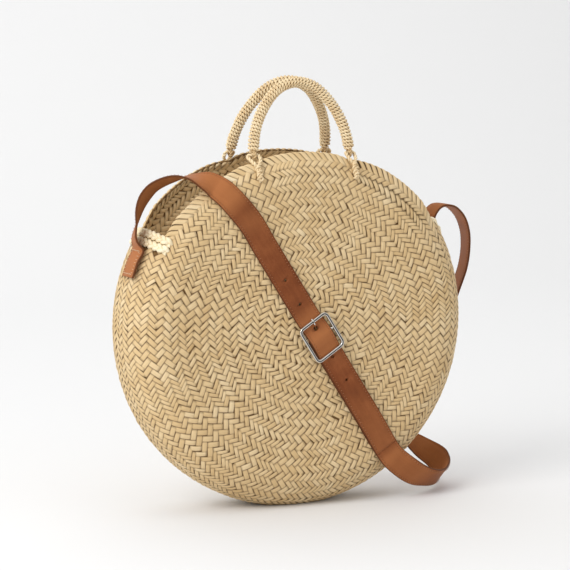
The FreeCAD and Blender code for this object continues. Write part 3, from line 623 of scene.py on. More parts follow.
for side in ("right", "left"):
    spread = (GUSSET_END, MOUTH_ANGLE) if side == "right" else (math.pi - MOUTH_ANGLE, math.pi - GUSSET_END)
    braid_wall = ground(side, girth_ways, np.linspace(*spread, 8), *UNDER_BRAIDS, SHADE, False)
    piece(side + "_braid_ground", braid_wall, "bag", "palm_straw", side + "_mouth_end_braids")
    first_way = SEAM_WAY - (BRAID_TAIL if side == "left" else BRAID_LAP)
    ways = np.arange(first_way, 2 * HALF_GIRTH - SEAM_WAY + BRAID_LAP, BRAID_STEP)
    lines = []
    for row in range(2):
        for strand in range(3):
            turn = 2 * math.pi * (ways / BRAID_PITCH + strand / 3 + 0.3 * row)
            angle = GUSSET_END + (row + 0.5) * ROW_ANGLE + BRAID_SWAY * np.sin(turn) / BODY_RADIUS
            if side == "left":
                angle = math.pi - angle
            tuck = END_TUCK * (1 - ease(np.minimum(ways - ways[0], ways[-1] - ways), -0.001, 0.005))
            tuck -= TAIL_LIFT * (1 - ease(ways - SEAM_WAY, -0.003, 0.002))
            tuck += COVERED_TUCK * (1 - ease(ways - SEAM_WAY, 0.011, 0.018)) * (side == "right")
            lines.append(skin(ways, angle, BRAID_RISE * np.sin(2 * turn) - BRAID_SINK - tuck)[0])
    piece(side + "_braids", corded(side + "_braids", lines, BRAID_STRAND, BRAID, 8), "bag", "palm_straw")

# Rim bindings
# The panels' free edges over the mouth: broad strips are folded slantwise over the edge and tucked in
# on the inside.

RIM_LENGTH, RIM_WIDTH, RIM_CROWN, RIM_SPACING = 0.0195, 0.0067, 0.0010, 0.0068
RIM_FOLD, RIM_SLANT, RIM_REACH, RIM_INSET = 0.0027, 0.6, 0.009, 0.0035
RIM_RISE, RIM_SINK = 0.0012, 0.0005
RIM_RADIUS = BODY_RADIUS - 0.01
rim_arc = np.arange(MOUTH_ANGLE + MOUTH_MARGIN, math.pi - MOUTH_ANGLE, RIM_SPACING / RIM_RADIUS)
for side, facing in (("front", -1), ("back", 1)):
    chance = np.random.default_rng(41)
    rim_way = SEAM_WAY - RIM_INSET
    low_way = rim_way - RIM_REACH
    if facing > 0:
        rim_way, low_way = 2 * HALF_GIRTH - rim_way, 2 * HALF_GIRTH - low_way
    edge, out = skin(np.full(len(rim_arc), rim_way), rim_arc, RIM_RISE)
    low = skin(np.full(len(rim_arc), low_way), rim_arc, -RIM_SINK)[0]
    folded = marked_points(side + "_rim", edge, turn=turns(edge - low, out),
                           stretch=chance.normal(1, 0.015, (len(edge), 3)),
                           tone=np.clip(chance.normal(0.6, 0.08, len(edge)), 0, 1))
    rim = made_by(STRIP_TREE, folded, {
        "Strip length": RIM_LENGTH, "Strip width": RIM_WIDTH, "Arch": 0.0, "Crown": RIM_CROWN,
        "Fold start": 0.0, "Fold radius": RIM_FOLD, "Shear": math.tan(RIM_SLANT) * -facing,
        "Steps": 15, "Finish": STRAW})
    piece(side + "_rim_fold", rim, "bag", "palm_straw", side + "_rim_binding")

# Handles
# Two arched ropes, each wound closely from end to end with twisted two-ply palm cord. The rope ends in
# an eye at each foot, and hangs there on the tie that goes through the rim.

PIVOT_SIDE, PIVOT_HEIGHT = 0.027905, 0.35083
CROWN_RADIUS, EYE_RADIUS = 0.037, 0.0034
WIND_PITCH, WIND_RADIUS, WIND_START = 0.00345, 0.0041, 0.0034
WIND_TAPER, TAPER_LENGTH = 0.0010, 0.004
WIND_OFFSET, WIND_TWIST, WIND_PLY = 0.00086, 0.0066, 0.00092
ROPE_START, ROPE_OFFSET, ROPE_TWIST, ROPE_STRAND = 0.0035, 0.0014, 0.02, 0.0015
EYE_OFFSET, EYE_STRAND = 0.00085, 0.00095


def run_of(line):
    """Distances along a row of points from its first one."""
    return np.concatenate([[0], np.cumsum(np.linalg.norm(np.diff(line, axis=0), axis=1))])


def at_ways(ways, run, values):
    """Values at distances along a line, from those at its points."""
    return np.stack([np.interp(ways, run, values[:, axis]) for axis in range(3)], -1)


def spun(path, offset, pitch, plies, closed=False):
    """The lines of a cord's plies, twisted about a close row of points."""
    path = np.asarray(path, float)
    along = np.roll(path, -1, 0) - np.roll(path, 1, 0) if closed else np.gradient(path, axis=0)
    along = unit(along)
    run = run_of(path)
    side = np.cross(along[0], [0.3, 0.5, 0.8])
    sides = []
    for direction in along:
        side = side - direction * (side @ direction)
        side /= np.linalg.norm(side)
        sides.append(side)
    sides = np.array(sides)
    ups = np.cross(along, sides)
    lines = []
    for ply in range(plies):
        turn = (2 * math.pi * (run / pitch + ply / plies))[:, None]
        lines.append(path + offset * (np.cos(turn) * sides + np.sin(turn) * ups))
    return lines


def joined(name, meshes):
    """Several meshes of one finish as one."""
    work = bmesh.new()
    for mesh in meshes:
        work.from_mesh(mesh)
    whole = bpy.data.meshes.new(name)
    work.to_mesh(whole)
    work.free()
    whole.materials.append(meshes[0].materials[0])
    return whole


CORD = cord_finish("palm_cord", [(0.1, (0.48, 0.31, 0.15)), (0.4, (0.76, 0.58, 0.34)),
                                 (0.75, (0.88, 0.74, 0.50)), (1.0, (0.93, 0.83, 0.63))])
ROPE = cord_finish("fibre_rope", [(0.1, (0.34, 0.2, 0.09)), (0.5, (0.58, 0.41, 0.21)),
                                  (1.0, (0.74, 0.58, 0.35))])


def handle_line(rise):
    """Points a close step apart along a handle's arch: two legs and a tighter crown."""
    leg_radius = (CROWN_RADIUS ** 2 - FOOT ** 2 - (rise - CROWN_RADIUS) ** 2) / (2 * (CROWN_RADIUS - FOOT))
    leg_middle = leg_radius - FOOT
    leg_turn = math.atan2(rise - CROWN_RADIUS, leg_middle)
    line = []
    for middle, height, radius, start, end in (
            (leg_middle, 0, leg_radius, math.pi, math.pi - leg_turn),
            (0, rise - CROWN_RADIUS, CROWN_RADIUS, math.pi - leg_turn, leg_turn),
            (-leg_middle, 0, leg_radius, leg_turn, 0)):
        turn = np.linspace(start, end, 240)
        arc = np.stack([middle + radius * np.cos(turn), 0 * turn, height + radius * np.sin(turn)], -1)
        line.append(arc[:-1])
    return np.concatenate(line)


def along_line(line, ways):
    """Points and directions at distances along a line."""
    run = run_of(line)
    return at_ways(ways, run, line), at_ways(ways, run, np.gradient(line, run, axis=0))


for side, facing, rise, lean in (("front", -1, 0.071, -9.2), ("back", 1, 0.075, 19.5)):
    arch = handle_line(rise)
    length = np.linalg.norm(np.diff(arch, axis=0), axis=1).sum()
    wound = length - 2 * WIND_START
    winds = wound / WIND_PITCH
    share = np.linspace(0, 1, int(winds * 40))
    ways = WIND_START + share * wound
    middle, along = along_line(arch, ways)
    across = np.cross(along, [0.0, 1.0, 0.0])
    turn = (2 * math.pi * winds * share)[:, None]
    close = np.minimum(ease(ways, WIND_START, WIND_START + TAPER_LENGTH),
                       ease(length - ways, WIND_START, WIND_START + TAPER_LENGTH))
    reach = (WIND_RADIUS - WIND_TAPER * (1 - close))[:, None]
    winding = middle + reach * (np.cos(turn) * across + np.sin(turn) * np.array([0.0, 1.0, 0.0]))
    stand = Matrix.Translation((0.0, facing * PIVOT_SIDE, PIVOT_HEIGHT))
    stand = stand @ Matrix.Rotation(math.radians(lean), 4, "X")
    wrap = corded(side + "_wrap", spun(winding, WIND_OFFSET, WIND_TWIST, 2), WIND_PLY, CORD, 5)
    wrap.transform(stand)
    piece(side + "_handle_winding", wrap, side + "_handle", "palm_cord", side + "_handle_wrap")
    core_line = along_line(arch, np.linspace(ROPE_START, length - ROPE_START, 180))[0]
    rope = corded(side + "_rope", spun(core_line, ROPE_OFFSET, ROPE_TWIST, 3), ROPE_STRAND, ROPE)
    ring = np.linspace(0, 2 * math.pi, 60, endpoint=False)
    eyes = []
    for hand in (-1, 1):
        hoop = np.stack([np.full(60, hand * FOOT), EYE_RADIUS * np.cos(ring), EYE_RADIUS * np.sin(ring)], -1)
        plies = spun(hoop, EYE_OFFSET, 2 * math.pi * EYE_RADIUS / 4, 2, True)
        eyes.append(corded("eye", plies, EYE_STRAND, ROPE, closed=True))
    core = joined(side + "_core", [rope] + eyes)
    core.transform(stand)
    piece(side + "_handle_rope", core, side + "_handle", "rope", side + "_handle_core")

# Handle ties
# A length of the same cord goes through each eye, down over the rim on both sides of it and through the
# panel, where its ends are knotted inside.


def front_skin(x, z):
    """Point and outward normal of the front, z being measured from the bag's axis."""
    angle = math.atan2(z, x)
    inside = float(outline(np.array(angle))) - math.hypot(x, z)
    turn = math.acos(min(1.0, max(0.0, (SHOULDER - inside) / SHOULDER)))
    normal = Vector((math.cos(turn) * math.cos(angle), -math.sin(turn), math.cos(turn) * math.sin(angle)))
    return Vector((x, SHOULDER - HALF_DEPTH - SHOULDER * math.sin(turn), AXIS_HEIGHT + z)), normal


def eased(stations, step):
    """Values on a smooth line through rows of them, close together; a row's first three are its place."""
    stations = np.asarray(stations, float)
    run = run_of(stations[:, :3])
    slopes = np.gradient(stations, run, axis=0)
    line = []
    for number, width in enumerate(np.diff(run)):
        share = np.linspace(0, 1, max(3, math.ceil(width / step)), endpoint=False)[:, None]
        start, end = stations[number], stations[number + 1]
        rise, fall = slopes[number] * width, slopes[number + 1] * width
        line.append((start * (1 + 2 * share) + rise * share) * (1 - share) ** 2
                    + (end * (3 - 2 * share) - fall * (1 - share)) * share ** 2)
    return np.concatenate(line + [stations[-1:]])


TIE_DROP, TIE_REACH, TIE_TWIST = 0.024, 0.0050, 3 * math.pi
TWIST_START, TWIST_LENGTH, TWIST_WIDTH, TWIST_DEPTH = 0.45, 0.52, 0.0017, 0.0009
TIE_LIFT, TWIST_LIFT, ENTRY_LIFT, ENTRY_DEPTH = 0.0026, 0.0023, 0.0006, 0.005
TIE_STEP, PLY_OFFSET, PLY_TWIST, TIE_PLY = 0.0006, 0.00095, 0.0078, 0.00104
KNOT_RADIUS, KNOT_SWAY, KNOT_DEPTH, KNOT_CORD = 0.0014, 0.0012, 0.0013, 0.0013
KNOT_PLACE = 0.0086
for hand, x in (("left", -FOOT), ("right", FOOT)):
    lines = []
    level = PIVOT_HEIGHT - AXIS_HEIGHT
    for reach in (-TIE_REACH, TIE_REACH):
        strand = [Vector((x, -PIVOT_SIDE, PIVOT_HEIGHT)),
                  Vector((x + reach * 0.75, -PIVOT_SIDE, PIVOT_HEIGHT))]
        for share, spread in ((0.13, 1.0), (0.3, 0.85)):
            point, out = front_skin(x + spread * reach, level - share * TIE_DROP)
            strand.append(point + out * TIE_LIFT)
        for share in np.linspace(TWIST_START, TWIST_START + TWIST_LENGTH, 12):
            turn = TIE_TWIST * (share - TWIST_START) / TWIST_LENGTH
            aside = math.copysign(TWIST_WIDTH, reach) * math.cos(turn)
            point, out = front_skin(x + aside, level - share * TIE_DROP)
            strand.append(point + out * (TWIST_LIFT + math.copysign(TWIST_DEPTH, reach) * math.sin(turn)))
        entry, out = front_skin(x, level - TIE_DROP)
        strand += [entry + out * ENTRY_LIFT, entry - out * ENTRY_DEPTH]
        lines += spun(eased(strand, TIE_STEP), PLY_OFFSET, PLY_TWIST, 2)
    inside = entry - out * KNOT_PLACE
    knot = []
    for turn in np.linspace(0, 2 * math.pi, 60, endpoint=False):
        reach = KNOT_RADIUS + KNOT_SWAY * math.cos(3 * turn)
        knot.append(inside + Vector((reach * math.cos(2 * turn) * 1.3, KNOT_DEPTH * math.sin(3 * turn),
                                     reach * math.sin(2 * turn) * 1.3)))
    tie = corded("tie", lines, TIE_PLY, CORD)
    tie = joined("tie", [tie, corded("knot", [knot], KNOT_CORD, CORD, closed=True)])
    for side in ("front", "back"):
        tied = tie.copy()
        if side == "back":
            tied.transform(Matrix.Rotation(math.pi, 4, "Z"))
        name = "%s_%s" % (side, hand if side == "front" else {"left": "right", "right": "left"}[hand])
        piece(name + "_tie", tied, "bag", "palm_cord", name + "_handle_tie")

# Holed strap
# Two layers of cognac leather glued back to back, 26 mm wide. Sewn to the gusset on the left, it arches
# over the mouth's end, twisting as it goes, crosses the front and goes through the buckle.

STRAP_HALF, STRAP_MIDDLE, LEATHER = 0.013, 0.006, 0.001
FACE_LOW, STRAP_TOP, OFF_BAG = 0.0011, 0.0021, 0.0006
SLOPE = math.radians(57.2)
DOWN = Vector((math.cos(SLOPE), 0.0, -math.sin(SLOPE)))
ACROSS = Vector((-DOWN.z, 0.0, DOWN.x))
BUCKLE_X, BUCKLE_Z = 0.0557 * BODY_RADIUS, -0.0589 * BODY_RADIUS
BAR_PLACE = 0.0191
OVER_STRAP, OVER_FOLD = 0.0027, 0.0053
TAB_ANGLES = np.radians([16.8, 21.4, 26.0])
TAB_OFFSET = 0.013
FLAT_REACH = float(outline(np.array(math.pi - SLOPE))) - SHOULDER
FLAT_END = math.sqrt(FLAT_REACH ** 2 - BUCKLE_X ** 2 - BUCKLE_Z ** 2)
STITCH_LINE, GROOVE_HALF, GROOVE_DEPTH = 0.0106, 0.0006, 0.0002


def on_front(distance, level):
    """Strap station on the front: a distance down from the buckle and a level above the skin."""
    point, out = front_skin(BUCKLE_X + DOWN.x * distance, BUCKLE_Z + DOWN.z * distance)
    return (*(point + out * (OFF_BAG + level)), *out.cross(DOWN))


def on_rim(x, z, level, across):
    """Strap station near the rim, in shares of the bag's radius."""
    point, out = front_skin(x * BODY_RADIUS, z * BODY_RADIUS)
    return (*(point + out * (OFF_BAG + level)), *across)


def beside(x, y, z, across):
    """Strap station off the bag, in shares of its radius and half depth."""
    return (x * BODY_RADIUS, y * HALF_DEPTH, AXIS_HEIGHT + z * BODY_RADIUS, *across)


def tab(angles, offset):
    """Stations where the strap is sewn flat on the gusset."""
    reach = outline(angles) + OFF_BAG
    return [(far * math.cos(turn), offset, AXIS_HEIGHT + far * math.sin(turn), 0.0, 1.0, 0.0)
            for turn, far in zip(angles, reach)]


def strap_frames(stations, step=0.0025):
    """Places, width directions, outward directions and distances along a strap."""
    line = eased(stations, step)
    place, across = line[:, :3], line[:, 3:6]
    along = unit(np.gradient(place, axis=0))
    across = unit(across - along * np.sum(across * along, 1, keepdims=True))
    return place, across, np.cross(along, across), run_of(place)


def layer(name, frames, low, high, shown, finish, painted_shading, thin=None):
    """A layer of strap leather with a rounded, grooved shown side: 1 its upper and -1 its lower one.
    It is marked with how hard it is bent and with painted light or shade, which its finish shows."""
    place, across, out, run = frames
    thin = np.ones(len(run)) if thin is None else thin
    top, back = (high, low) if shown > 0 else (low, high)
    half = [(STRAP_HALF, top - shown * 0.00045), (STRAP_HALF - 0.0002, top - shown * 0.00015),
            (STRAP_HALF - 0.0006, top), (STITCH_LINE + GROOVE_HALF, top),
            (STITCH_LINE, top - shown * GROOVE_DEPTH), (STITCH_LINE - GROOVE_HALF, top),
            (STRAP_MIDDLE, top + shown * 0.00006)]
    section = [(STRAP_HALF, back)] + half + [(0.0, top + shown * 0.00008)]
    section += [(-side, level) for side, level in half[::-1]]
    section += [(-STRAP_HALF, back), (-STRAP_MIDDLE, back), (STRAP_MIDDLE, back)]
    count = len(section)
    heading = np.gradient(place, run, axis=0)
    bent = np.linalg.norm(np.gradient(heading, run, axis=0), axis=1)
    bent = np.convolve(np.pad(np.clip(bent / 25, 0, 1), 3, "edge"), np.ones(7) / 7, "valid")
    # Bends and the painted light or shade given to the layer, which the finish turns into another tone.
    bend_and_painted_shading = np.maximum(bent, painted_shading)
    spots, marks, faces = [], [], []
    for number in range(len(run)):
        for side, level in section:
            spots.append(place[number] + across[number] * side + out[number] * level * thin[number])
            marks.append((run[number], side / STRAP_HALF, bend_and_painted_shading[number]))
    for number in range(len(run) - 1):
        for corner in range(count):
            after = (corner + 1) % count
            faces.append([number * count + corner, number * count + after,
                          (number + 1) * count + after, (number + 1) * count + corner])
    faces += [list(range(count)), list(range((len(run) - 1) * count, len(run) * count))]
    mesh = bpy.data.meshes.new(name)
    mesh.from_pydata([tuple(spot) for spot in spots], [], faces)
    mesh.attributes.new("strap_place", "FLOAT_VECTOR", "POINT").data.foreach_set("vector", np.ravel(marks))
    return tidy(mesh, finish)


def leather_finish(name, stops, bent_and_painted_tone, worn, rough):
    """Vegetable-tanned leather: clouded and finely pebbled, with dark edges and seams. Where it is bent or
    marked it takes another tone: on the face partly pull-up paling and partly painted highlight, on the
    lining painted shade."""
    material, start, shader = finish_of(name)
    place = start.node("ShaderNodeTexCoord", output="Object")
    spot = start.node("ShaderNodeSeparateXYZ", inputs={
        0: start.node("ShaderNodeAttribute", {"attribute_name": "strap_place"}, output="Vector")})
    across = abs(spot.also(1))
    cloud = start.node("ShaderNodeTexNoise", {},
                       {"Vector": place, "Scale": 34.0, "Detail": 4.0, "Roughness": 0.6})
    streak_place = start.node("ShaderNodeCombineXYZ", inputs={0: spot * 22.0, 1: spot.also(1) * 3.5})
    streak = start.node("ShaderNodeTexNoise", {}, {"Vector": streak_place, "Scale": 1.0, "Detail": 3.0})
    pebble = start.node("ShaderNodeTexVoronoi", {"feature": "DISTANCE_TO_EDGE"},
                        {"Vector": place, "Scale": 820.0})
    pores = start.node("ShaderNodeTexNoise", {}, {"Vector": place, "Scale": 1500.0, "Detail": 2.0})
    shade = 0.5 + (cloud - 0.5) * 1.1 + (streak - 0.5) * 0.35 + (pores - 0.5) * 0.35
    colour = start.node("ShaderNodeValToRGB", {"stops": stops}, {0: shade})
    # Painted light and shade: bent or marked parts turn paler on the face (partly pull-up, partly painted
    # highlight) and darker on the lining (painted shade).
    colour = colour.mix(bent_and_painted_tone, spot.also(2) * 0.7)
    seam = 1 - abs(across - STITCH_LINE / STRAP_HALF).step(0.0, 0.045)
    colour = colour.mix(worn, across.step(0.9, 0.985) * 0.8 + seam * 0.3)
    height = pebble.least(0.22) * 2.2 + pores * 0.5
    bump = start.node("ShaderNodeBump", inputs={"Strength": 0.28, "Distance": 0.0002, "Height": height})
    feed(shader, Base_Color=colour, Roughness=rough + (cloud - 0.5) * 0.3, Normal=bump,
         Specular_IOR_Level=0.1)
    return material


# Third colours: the tone of bent or marked parts, paler on the face for pull-up and painted light, darker on
# the lining for painted shade.
COGNAC = leather_finish("cognac_leather", [(0.15, (0.122, 0.032, 0.010)), (0.5, (0.197, 0.056, 0.018)),
                                           (0.85, (0.295, 0.095, 0.033))],
                        (0.48, 0.185, 0.065, 1.0), (0.075, 0.024, 0.010, 1.0), 0.5)
FLESH_SIDE = leather_finish("leather_flesh_side", [(0.15, (0.30, 0.098, 0.028)), (0.5, (0.45, 0.165, 0.050)),
                                                   (0.85, (0.58, 0.24, 0.083))],
                            (0.23, 0.080, 0.027, 1.0), (0.10, 0.034, 0.014, 1.0), 0.75)

LEFT_ARCH = [(-0.919, -0.289, 0.483, (0.2, 0.98, 0.0)), (-0.906, -0.3, 0.574, (0.43, 0.9, 0.0)),
             (-0.892, -0.322, 0.646, (0.62, 0.78, -0.05)), (-0.869, -0.367, 0.703, (0.7, 0.7, -0.15)),
             (-0.835, -0.422, 0.747, (0.65, 0.72, -0.25)), (-0.785, -0.489, 0.777, (0.5, 0.8, -0.32)),
             (-0.723, -0.567, 0.796, (0.4, 0.88, -0.25)), (-0.652, -0.68, 0.8005, (0.45, 0.88, 0.1)),
             (-0.585, -0.789, 0.7835, (0.58, 0.6, 0.5))]
OVER_RIM = [(-0.522, 0.748, 0.0026, (0.62, 0.28, 0.7)), (-0.4986, 0.7316, 0.0019, (0.68, 0.15, 0.69)),
            (-0.4729, 0.709, 0.0012, (0.74, 0.08, 0.65)), (-0.4428, 0.6763, 0.0006, (0.79, 0.03, 0.6)),
            (-0.4037, 0.6349, 0.0002, (0.82, 0.0, 0.56))]
OVER_BUCKLE = [(-1.6, 0.0), (-1.23, 0.06 * OVER_FOLD), (-1.0, 0.18 * OVER_FOLD), (-0.61, 0.57 * OVER_FOLD),
               (-0.3, 0.9 * OVER_FOLD), (0.0, OVER_FOLD), (0.3, 0.92 * OVER_FOLD),
               (0.61, 0.3 * OVER_STRAP + 0.6 * OVER_FOLD), (0.86, 1.05 * OVER_STRAP), (1.0, OVER_STRAP),
               (1.35, OVER_STRAP)]
PRONG_HOLE, HOLE_PITCH = -0.565 * BAR_PLACE, 0.029
USED_HOLE, SPARE_HOLE = 0.00225, 0.0016

holed_route = tab(math.pi - TAB_ANGLES, -TAB_OFFSET)
holed_route += [beside(*station) for station in LEFT_ARCH] + [on_rim(*station) for station in OVER_RIM]
holed_route += [on_front(distance, 0.0) for distance in (-0.762 * BODY_RADIUS, -0.1078, -0.0747, -0.0471)]
holed_route += [on_front(place * BAR_PLACE, level) for place, level in OVER_BUCKLE]
holed_route += [on_front(0.0628, OVER_STRAP), on_front(0.0998, 0.0026), on_front(0.975 * FLAT_END, 0.00235)]
holed_frames = strap_frames(holed_route)
holed_run = holed_frames[3]
to_end = holed_run[-1] - holed_run
skived = 0.2 + 0.8 * ease(to_end, 0.0, 0.03)
# Painted light: the face is painted paler over the left tab, lit from the left, and towards the free end.
painted_light = np.maximum(1 - ease(holed_run, 0.025, 0.05), 0.45 * (1 - ease(to_end, 0.0, 0.1)))
# Painted shade: the lining is painted darker over the tab and the left arch.
painted_arch_shade = 1 - ease(holed_run, 0.12, 0.16)


def punched(mesh, distances):
    """Punches round adjusting holes through a layer on the front."""
    work = bmesh.new()
    for distance in distances:
        middle = Vector(on_front(distance, 0.004)[:3])
        place = Matrix.Translation(middle) @ Matrix.Rotation(math.pi / 2, 4, "X")
        radius = USED_HOLE if distance == PRONG_HOLE else SPARE_HOLE
        bmesh.ops.create_cone(work, cap_ends=True, segments=20, radius1=radius, radius2=radius,
                              depth=0.02, matrix=place)
    punch_mesh = bpy.data.meshes.new("punch")
    work.to_mesh(punch_mesh)
    work.free()
    return cut_by(mesh, punch_mesh)


def cut_by(mesh, tool_mesh):
    """A mesh less the room of another one."""
    tool, blank = placed("tool", tool_mesh), placed("blank", mesh)
    cut = blank.modifiers.new("cut", "BOOLEAN")
    cut.operation, cut.solver, cut.object = "DIFFERENCE", "EXACT", tool
    done = plain_mesh(blank)
    for item in (tool, blank):
        bpy.data.objects.remove(item)
    return done


holes = [PRONG_HOLE + HOLE_PITCH * step for step in (-2, -1, 0)]
holes += [PRONG_HOLE + HOLE_PITCH * step + OVER_FOLD for step in (1, 2)]
holed_face = layer("holed_face", holed_frames, FACE_LOW, STRAP_TOP, 1, COGNAC, painted_light, skived)
piece("holed_strap_outer", punched(holed_face, holes), "bag", "leather_face", "holed_strap_face")
holed_lining = layer("holed_lining", holed_frames, 0.0, LEATHER, -1, FLESH_SIDE, painted_arch_shade, skived)
piece("holed_strap_inner", punched(holed_lining, holes), "bag", "leather_lining", "holed_strap_lining")

# Buckle strap
# The other half of the strap. Its face is folded round the buckle's centre bar and sewn back under
# itself; from there face and lining run down, hang in a slack loop, rise behind and end at the right tab.

SLACK_LOOP = [(0.497, -1.014, -0.736, (0.84, 0.0, 0.54)), (0.575, -1.02, -0.801, (0.74, -0.15, 0.65)),
              (0.672, -0.93, -0.857, (0.5, -0.45, 0.73)), (0.787, -0.69, -0.89, (0.28, -0.65, 0.68)),
              (0.902, -0.27, -0.9, (0.22, -0.62, 0.74)), (0.979, 0.22, -0.878, (0.32, -0.4, 0.8)),
              (0.99, 0.64, -0.842, (0.58, 0.05, 0.74)), (0.935, 0.93, -0.79, (0.66, 0.4, 0.56)),
              (0.87, 1.07, -0.73, (0.45, 0.75, 0.38)), (0.838, 1.1, -0.655, (0.2, 0.95, 0.15)),
              (0.854, 1.06, -0.562, (0.05, 1.0, 0.0)), (0.935, 0.94, -0.389, (0.05, 1.0, 0.0)),
              (1.018, 0.81, -0.189, (0.12, 0.99, 0.0)), (1.084, 0.7, 0.0, (0.17, 0.985, 0.0)),
              (1.125, 0.61, 0.129, (0.18, 0.985, 0.0)), (1.149, 0.5, 0.24, (0.18, 0.985, 0.0)),
              (1.153, 0.42, 0.345, (0.18, 0.985, 0.0)), (1.135, 0.35, 0.452, (0.15, 0.99, 0.0)),
              (1.088, 0.31, 0.541, (0.1, 0.995, 0.0)), (1.014, 0.29, 0.594, (0.04, 1.0, 0.0)),
              (0.938, 0.289, 0.592, (0.0, 1.0, 0.0)), (0.888, 0.289, 0.532, (0.0, 1.0, 0.0))]
FOLD_FLAP, LINING_START = 0.032, 0.0321
FOLD_RADIUS, PIN_LEVEL, FOLD_SLOT = 0.0020, 0.0025, 0.004

lining_route = [on_front(LINING_START + share * (FLAT_END - LINING_START), 0.0)
                for share in (0.0, 0.3, 0.6, 0.95)]
lining_route += [beside(*station) for station in SLACK_LOOP] + tab(TAB_ANGLES[::-1], TAB_OFFSET)
lining_frames = strap_frames(lining_route)
# Painted shade: this lining is painted darker where it bends, as in the slack loop.
buckle_lining = layer("buckle_lining", lining_frames, 0.0, LEATHER, -1, FLESH_SIDE, 0.0)
piece("buckle_strap_inner", buckle_lining, "bag", "leather_lining", "buckle_strap_lining")

face_middle = FACE_LOW + LEATHER / 2
fold_route = [on_front(FOLD_FLAP, LEATHER / 2), on_front(FOLD_FLAP / 2, LEATHER / 2)]
for turn in np.linspace(-math.pi / 2, math.pi / 2, 9):
    fold_route.append(on_front(-FOLD_RADIUS * math.cos(turn), PIN_LEVEL + FOLD_RADIUS * math.sin(turn)))
fold_route += [on_front(0.45 * BAR_PLACE, face_middle + 0.55 * (PIN_LEVEL + FOLD_RADIUS - face_middle)),
               on_front(BAR_PLACE, face_middle)]
place, across, out, run = lining_frames
fold_route += [(*spot, *side) for spot, side in zip((place + out * face_middle)[::2], across[::2])]
face_frames = strap_frames(fold_route)
to_tab = face_frames[3][-1] - face_frames[3]
# Painted light: the face is painted paler over the right tab and the rise beside it.
painted_light = np.maximum(1 - ease(to_tab, 0.025, 0.05), 0.6 * (1 - ease(to_tab, 0.15, 0.26)))
face = layer("buckle_face", face_frames, -LEATHER / 2, LEATHER / 2, 1, COGNAC, painted_light)
work = bmesh.new()
slot_middle = Vector(on_front(-0.0005, 0.003)[:3])
slot_axes = Matrix((DOWN, ACROSS, Vector((0.0, -1.0, 0.0)))).transposed().to_4x4()
bmesh.ops.create_cube(work, size=1.0, matrix=Matrix.Translation(slot_middle) @ slot_axes
                      @ Matrix.Diagonal((0.0082, FOLD_SLOT, 0.009, 1.0)))
slot_mesh = bpy.data.meshes.new("fold_slot")
work.to_mesh(slot_mesh)
work.free()
piece("buckle_strap_outer", cut_by(face, slot_mesh), "bag", "leather_face", "buckle_strap_face")

# Sewing
# Waxed thread: a tan row along both edges of each strap, a pale box on each tab and a row across the
# buckle strap's fold. The rows along the edges lie in the grooves of the leather.

STITCH_PITCH, STITCH_LENGTH, SEAM_MARGIN = 0.0033, 0.0025, 0.0032
STITCH_SINK, BOX_RISE = 0.00008, 0.0001
EDGE_THREAD, BOX_THREAD = 0.0008, 0.0009


def sew_tree():
    """Lays a stitch on every point, turned as the point says."""
    tree, inputs = start_tree("sew_stitches", "Points", ("Stitch length", "Thread width"), (), "Stitches")
    points, length, width, finish = inputs
    bead = points.node("GeometryNodeMeshUVSphere", {}, {"Segments": 6, "Rings": 5, "Radius": 0.5})
    size = points.node("ShaderNodeCombineXYZ", inputs={0: width, 1: width * 0.7, 2: length})
    bead = points.node("GeometryNodeTransform", {}, {"Geometry": bead, "Scale": size})
    turn = points.node("GeometryNodeInputNamedAttribute", {"data_type": "QUATERNION"}, {"Name": "turn"})
    laid = points.node("GeometryNodeInstanceOnPoints", {},
                       {"Points": points, "Instance": bead, "Rotation": turn})
    end_tree(laid, finish, "Stitches")
    return tree


SEW_TREE = sew_tree()


def thread_finish(name, dark, pale):
    """Waxed thread with a fine twist."""
    material, start, shader = finish_of(name)
    place = start.node("ShaderNodeTexCoord", output="Object")
    twist = start.node("ShaderNodeTexNoise", {}, {"Vector": place, "Scale": 1400.0, "Detail": 2.0})
    colour = start.node("ShaderNodeValToRGB", {"stops": [(0.3, dark), (0.7, pale)]}, {0: twist})
    bump = start.node("ShaderNodeBump", inputs={"Strength": 0.4, "Distance": 0.0001, "Height": twist})
    feed(shader, Base_Color=colour, Roughness=0.55, Normal=bump, Specular_IOR_Level=0.3)
    return material


TAN_THREAD = thread_finish("tan_thread", (0.28, 0.115, 0.05), (0.46, 0.23, 0.11))
PALE_THREAD = thread_finish("pale_thread", (0.55, 0.40, 0.25), (0.78, 0.64, 0.46))


def sewn(name, spots, along, out, finish, width=EDGE_THREAD):
    """A piece of sewing from stitch places and their directions."""
    along, out = np.asarray(along, float), np.asarray(out, float)
    across = np.cross(out, along)
    points = marked_points(name, spots, turn=turns(across, np.cross(along, across)))
    return made_by(SEW_TREE, points,
                   {"Stitch length": STITCH_LENGTH, "Thread width": width, "Finish": finish})


for name, frames, first, last, thin in (("holed_strap", holed_frames, 0.036, -0.004, skived),
                                        ("buckle_strap", lining_frames, 0.003, -0.036, 1.0)):
    place, across, out, run = frames
    ways = np.arange(first, run[-1] + last, STITCH_PITCH)
    along = np.gradient(place, run, axis=0)
    level = (STRAP_TOP - STITCH_SINK) * thin * np.ones(len(run))
    spots, lays, ups = [], [], []
    for side in (-STITCH_LINE, STITCH_LINE):
        line = place + across * side + out * level[:, None]
        for values, rows in ((line, spots), (along, lays), (out, ups)):
            rows.append(at_ways(ways, run, values))
    edge_rows = [np.concatenate(rows) for rows in (spots, lays, ups)]
    piece(name + "_sewing", sewn(name, *edge_rows, TAN_THREAD), "bag", "thread")


def evenly(length):
    """Places along a seam, a whole number of stitches apart and centred."""
    count = max(1, round(length / STITCH_PITCH))
    return [((number + 0.5) / count - 0.5) * length for number in range(count)]


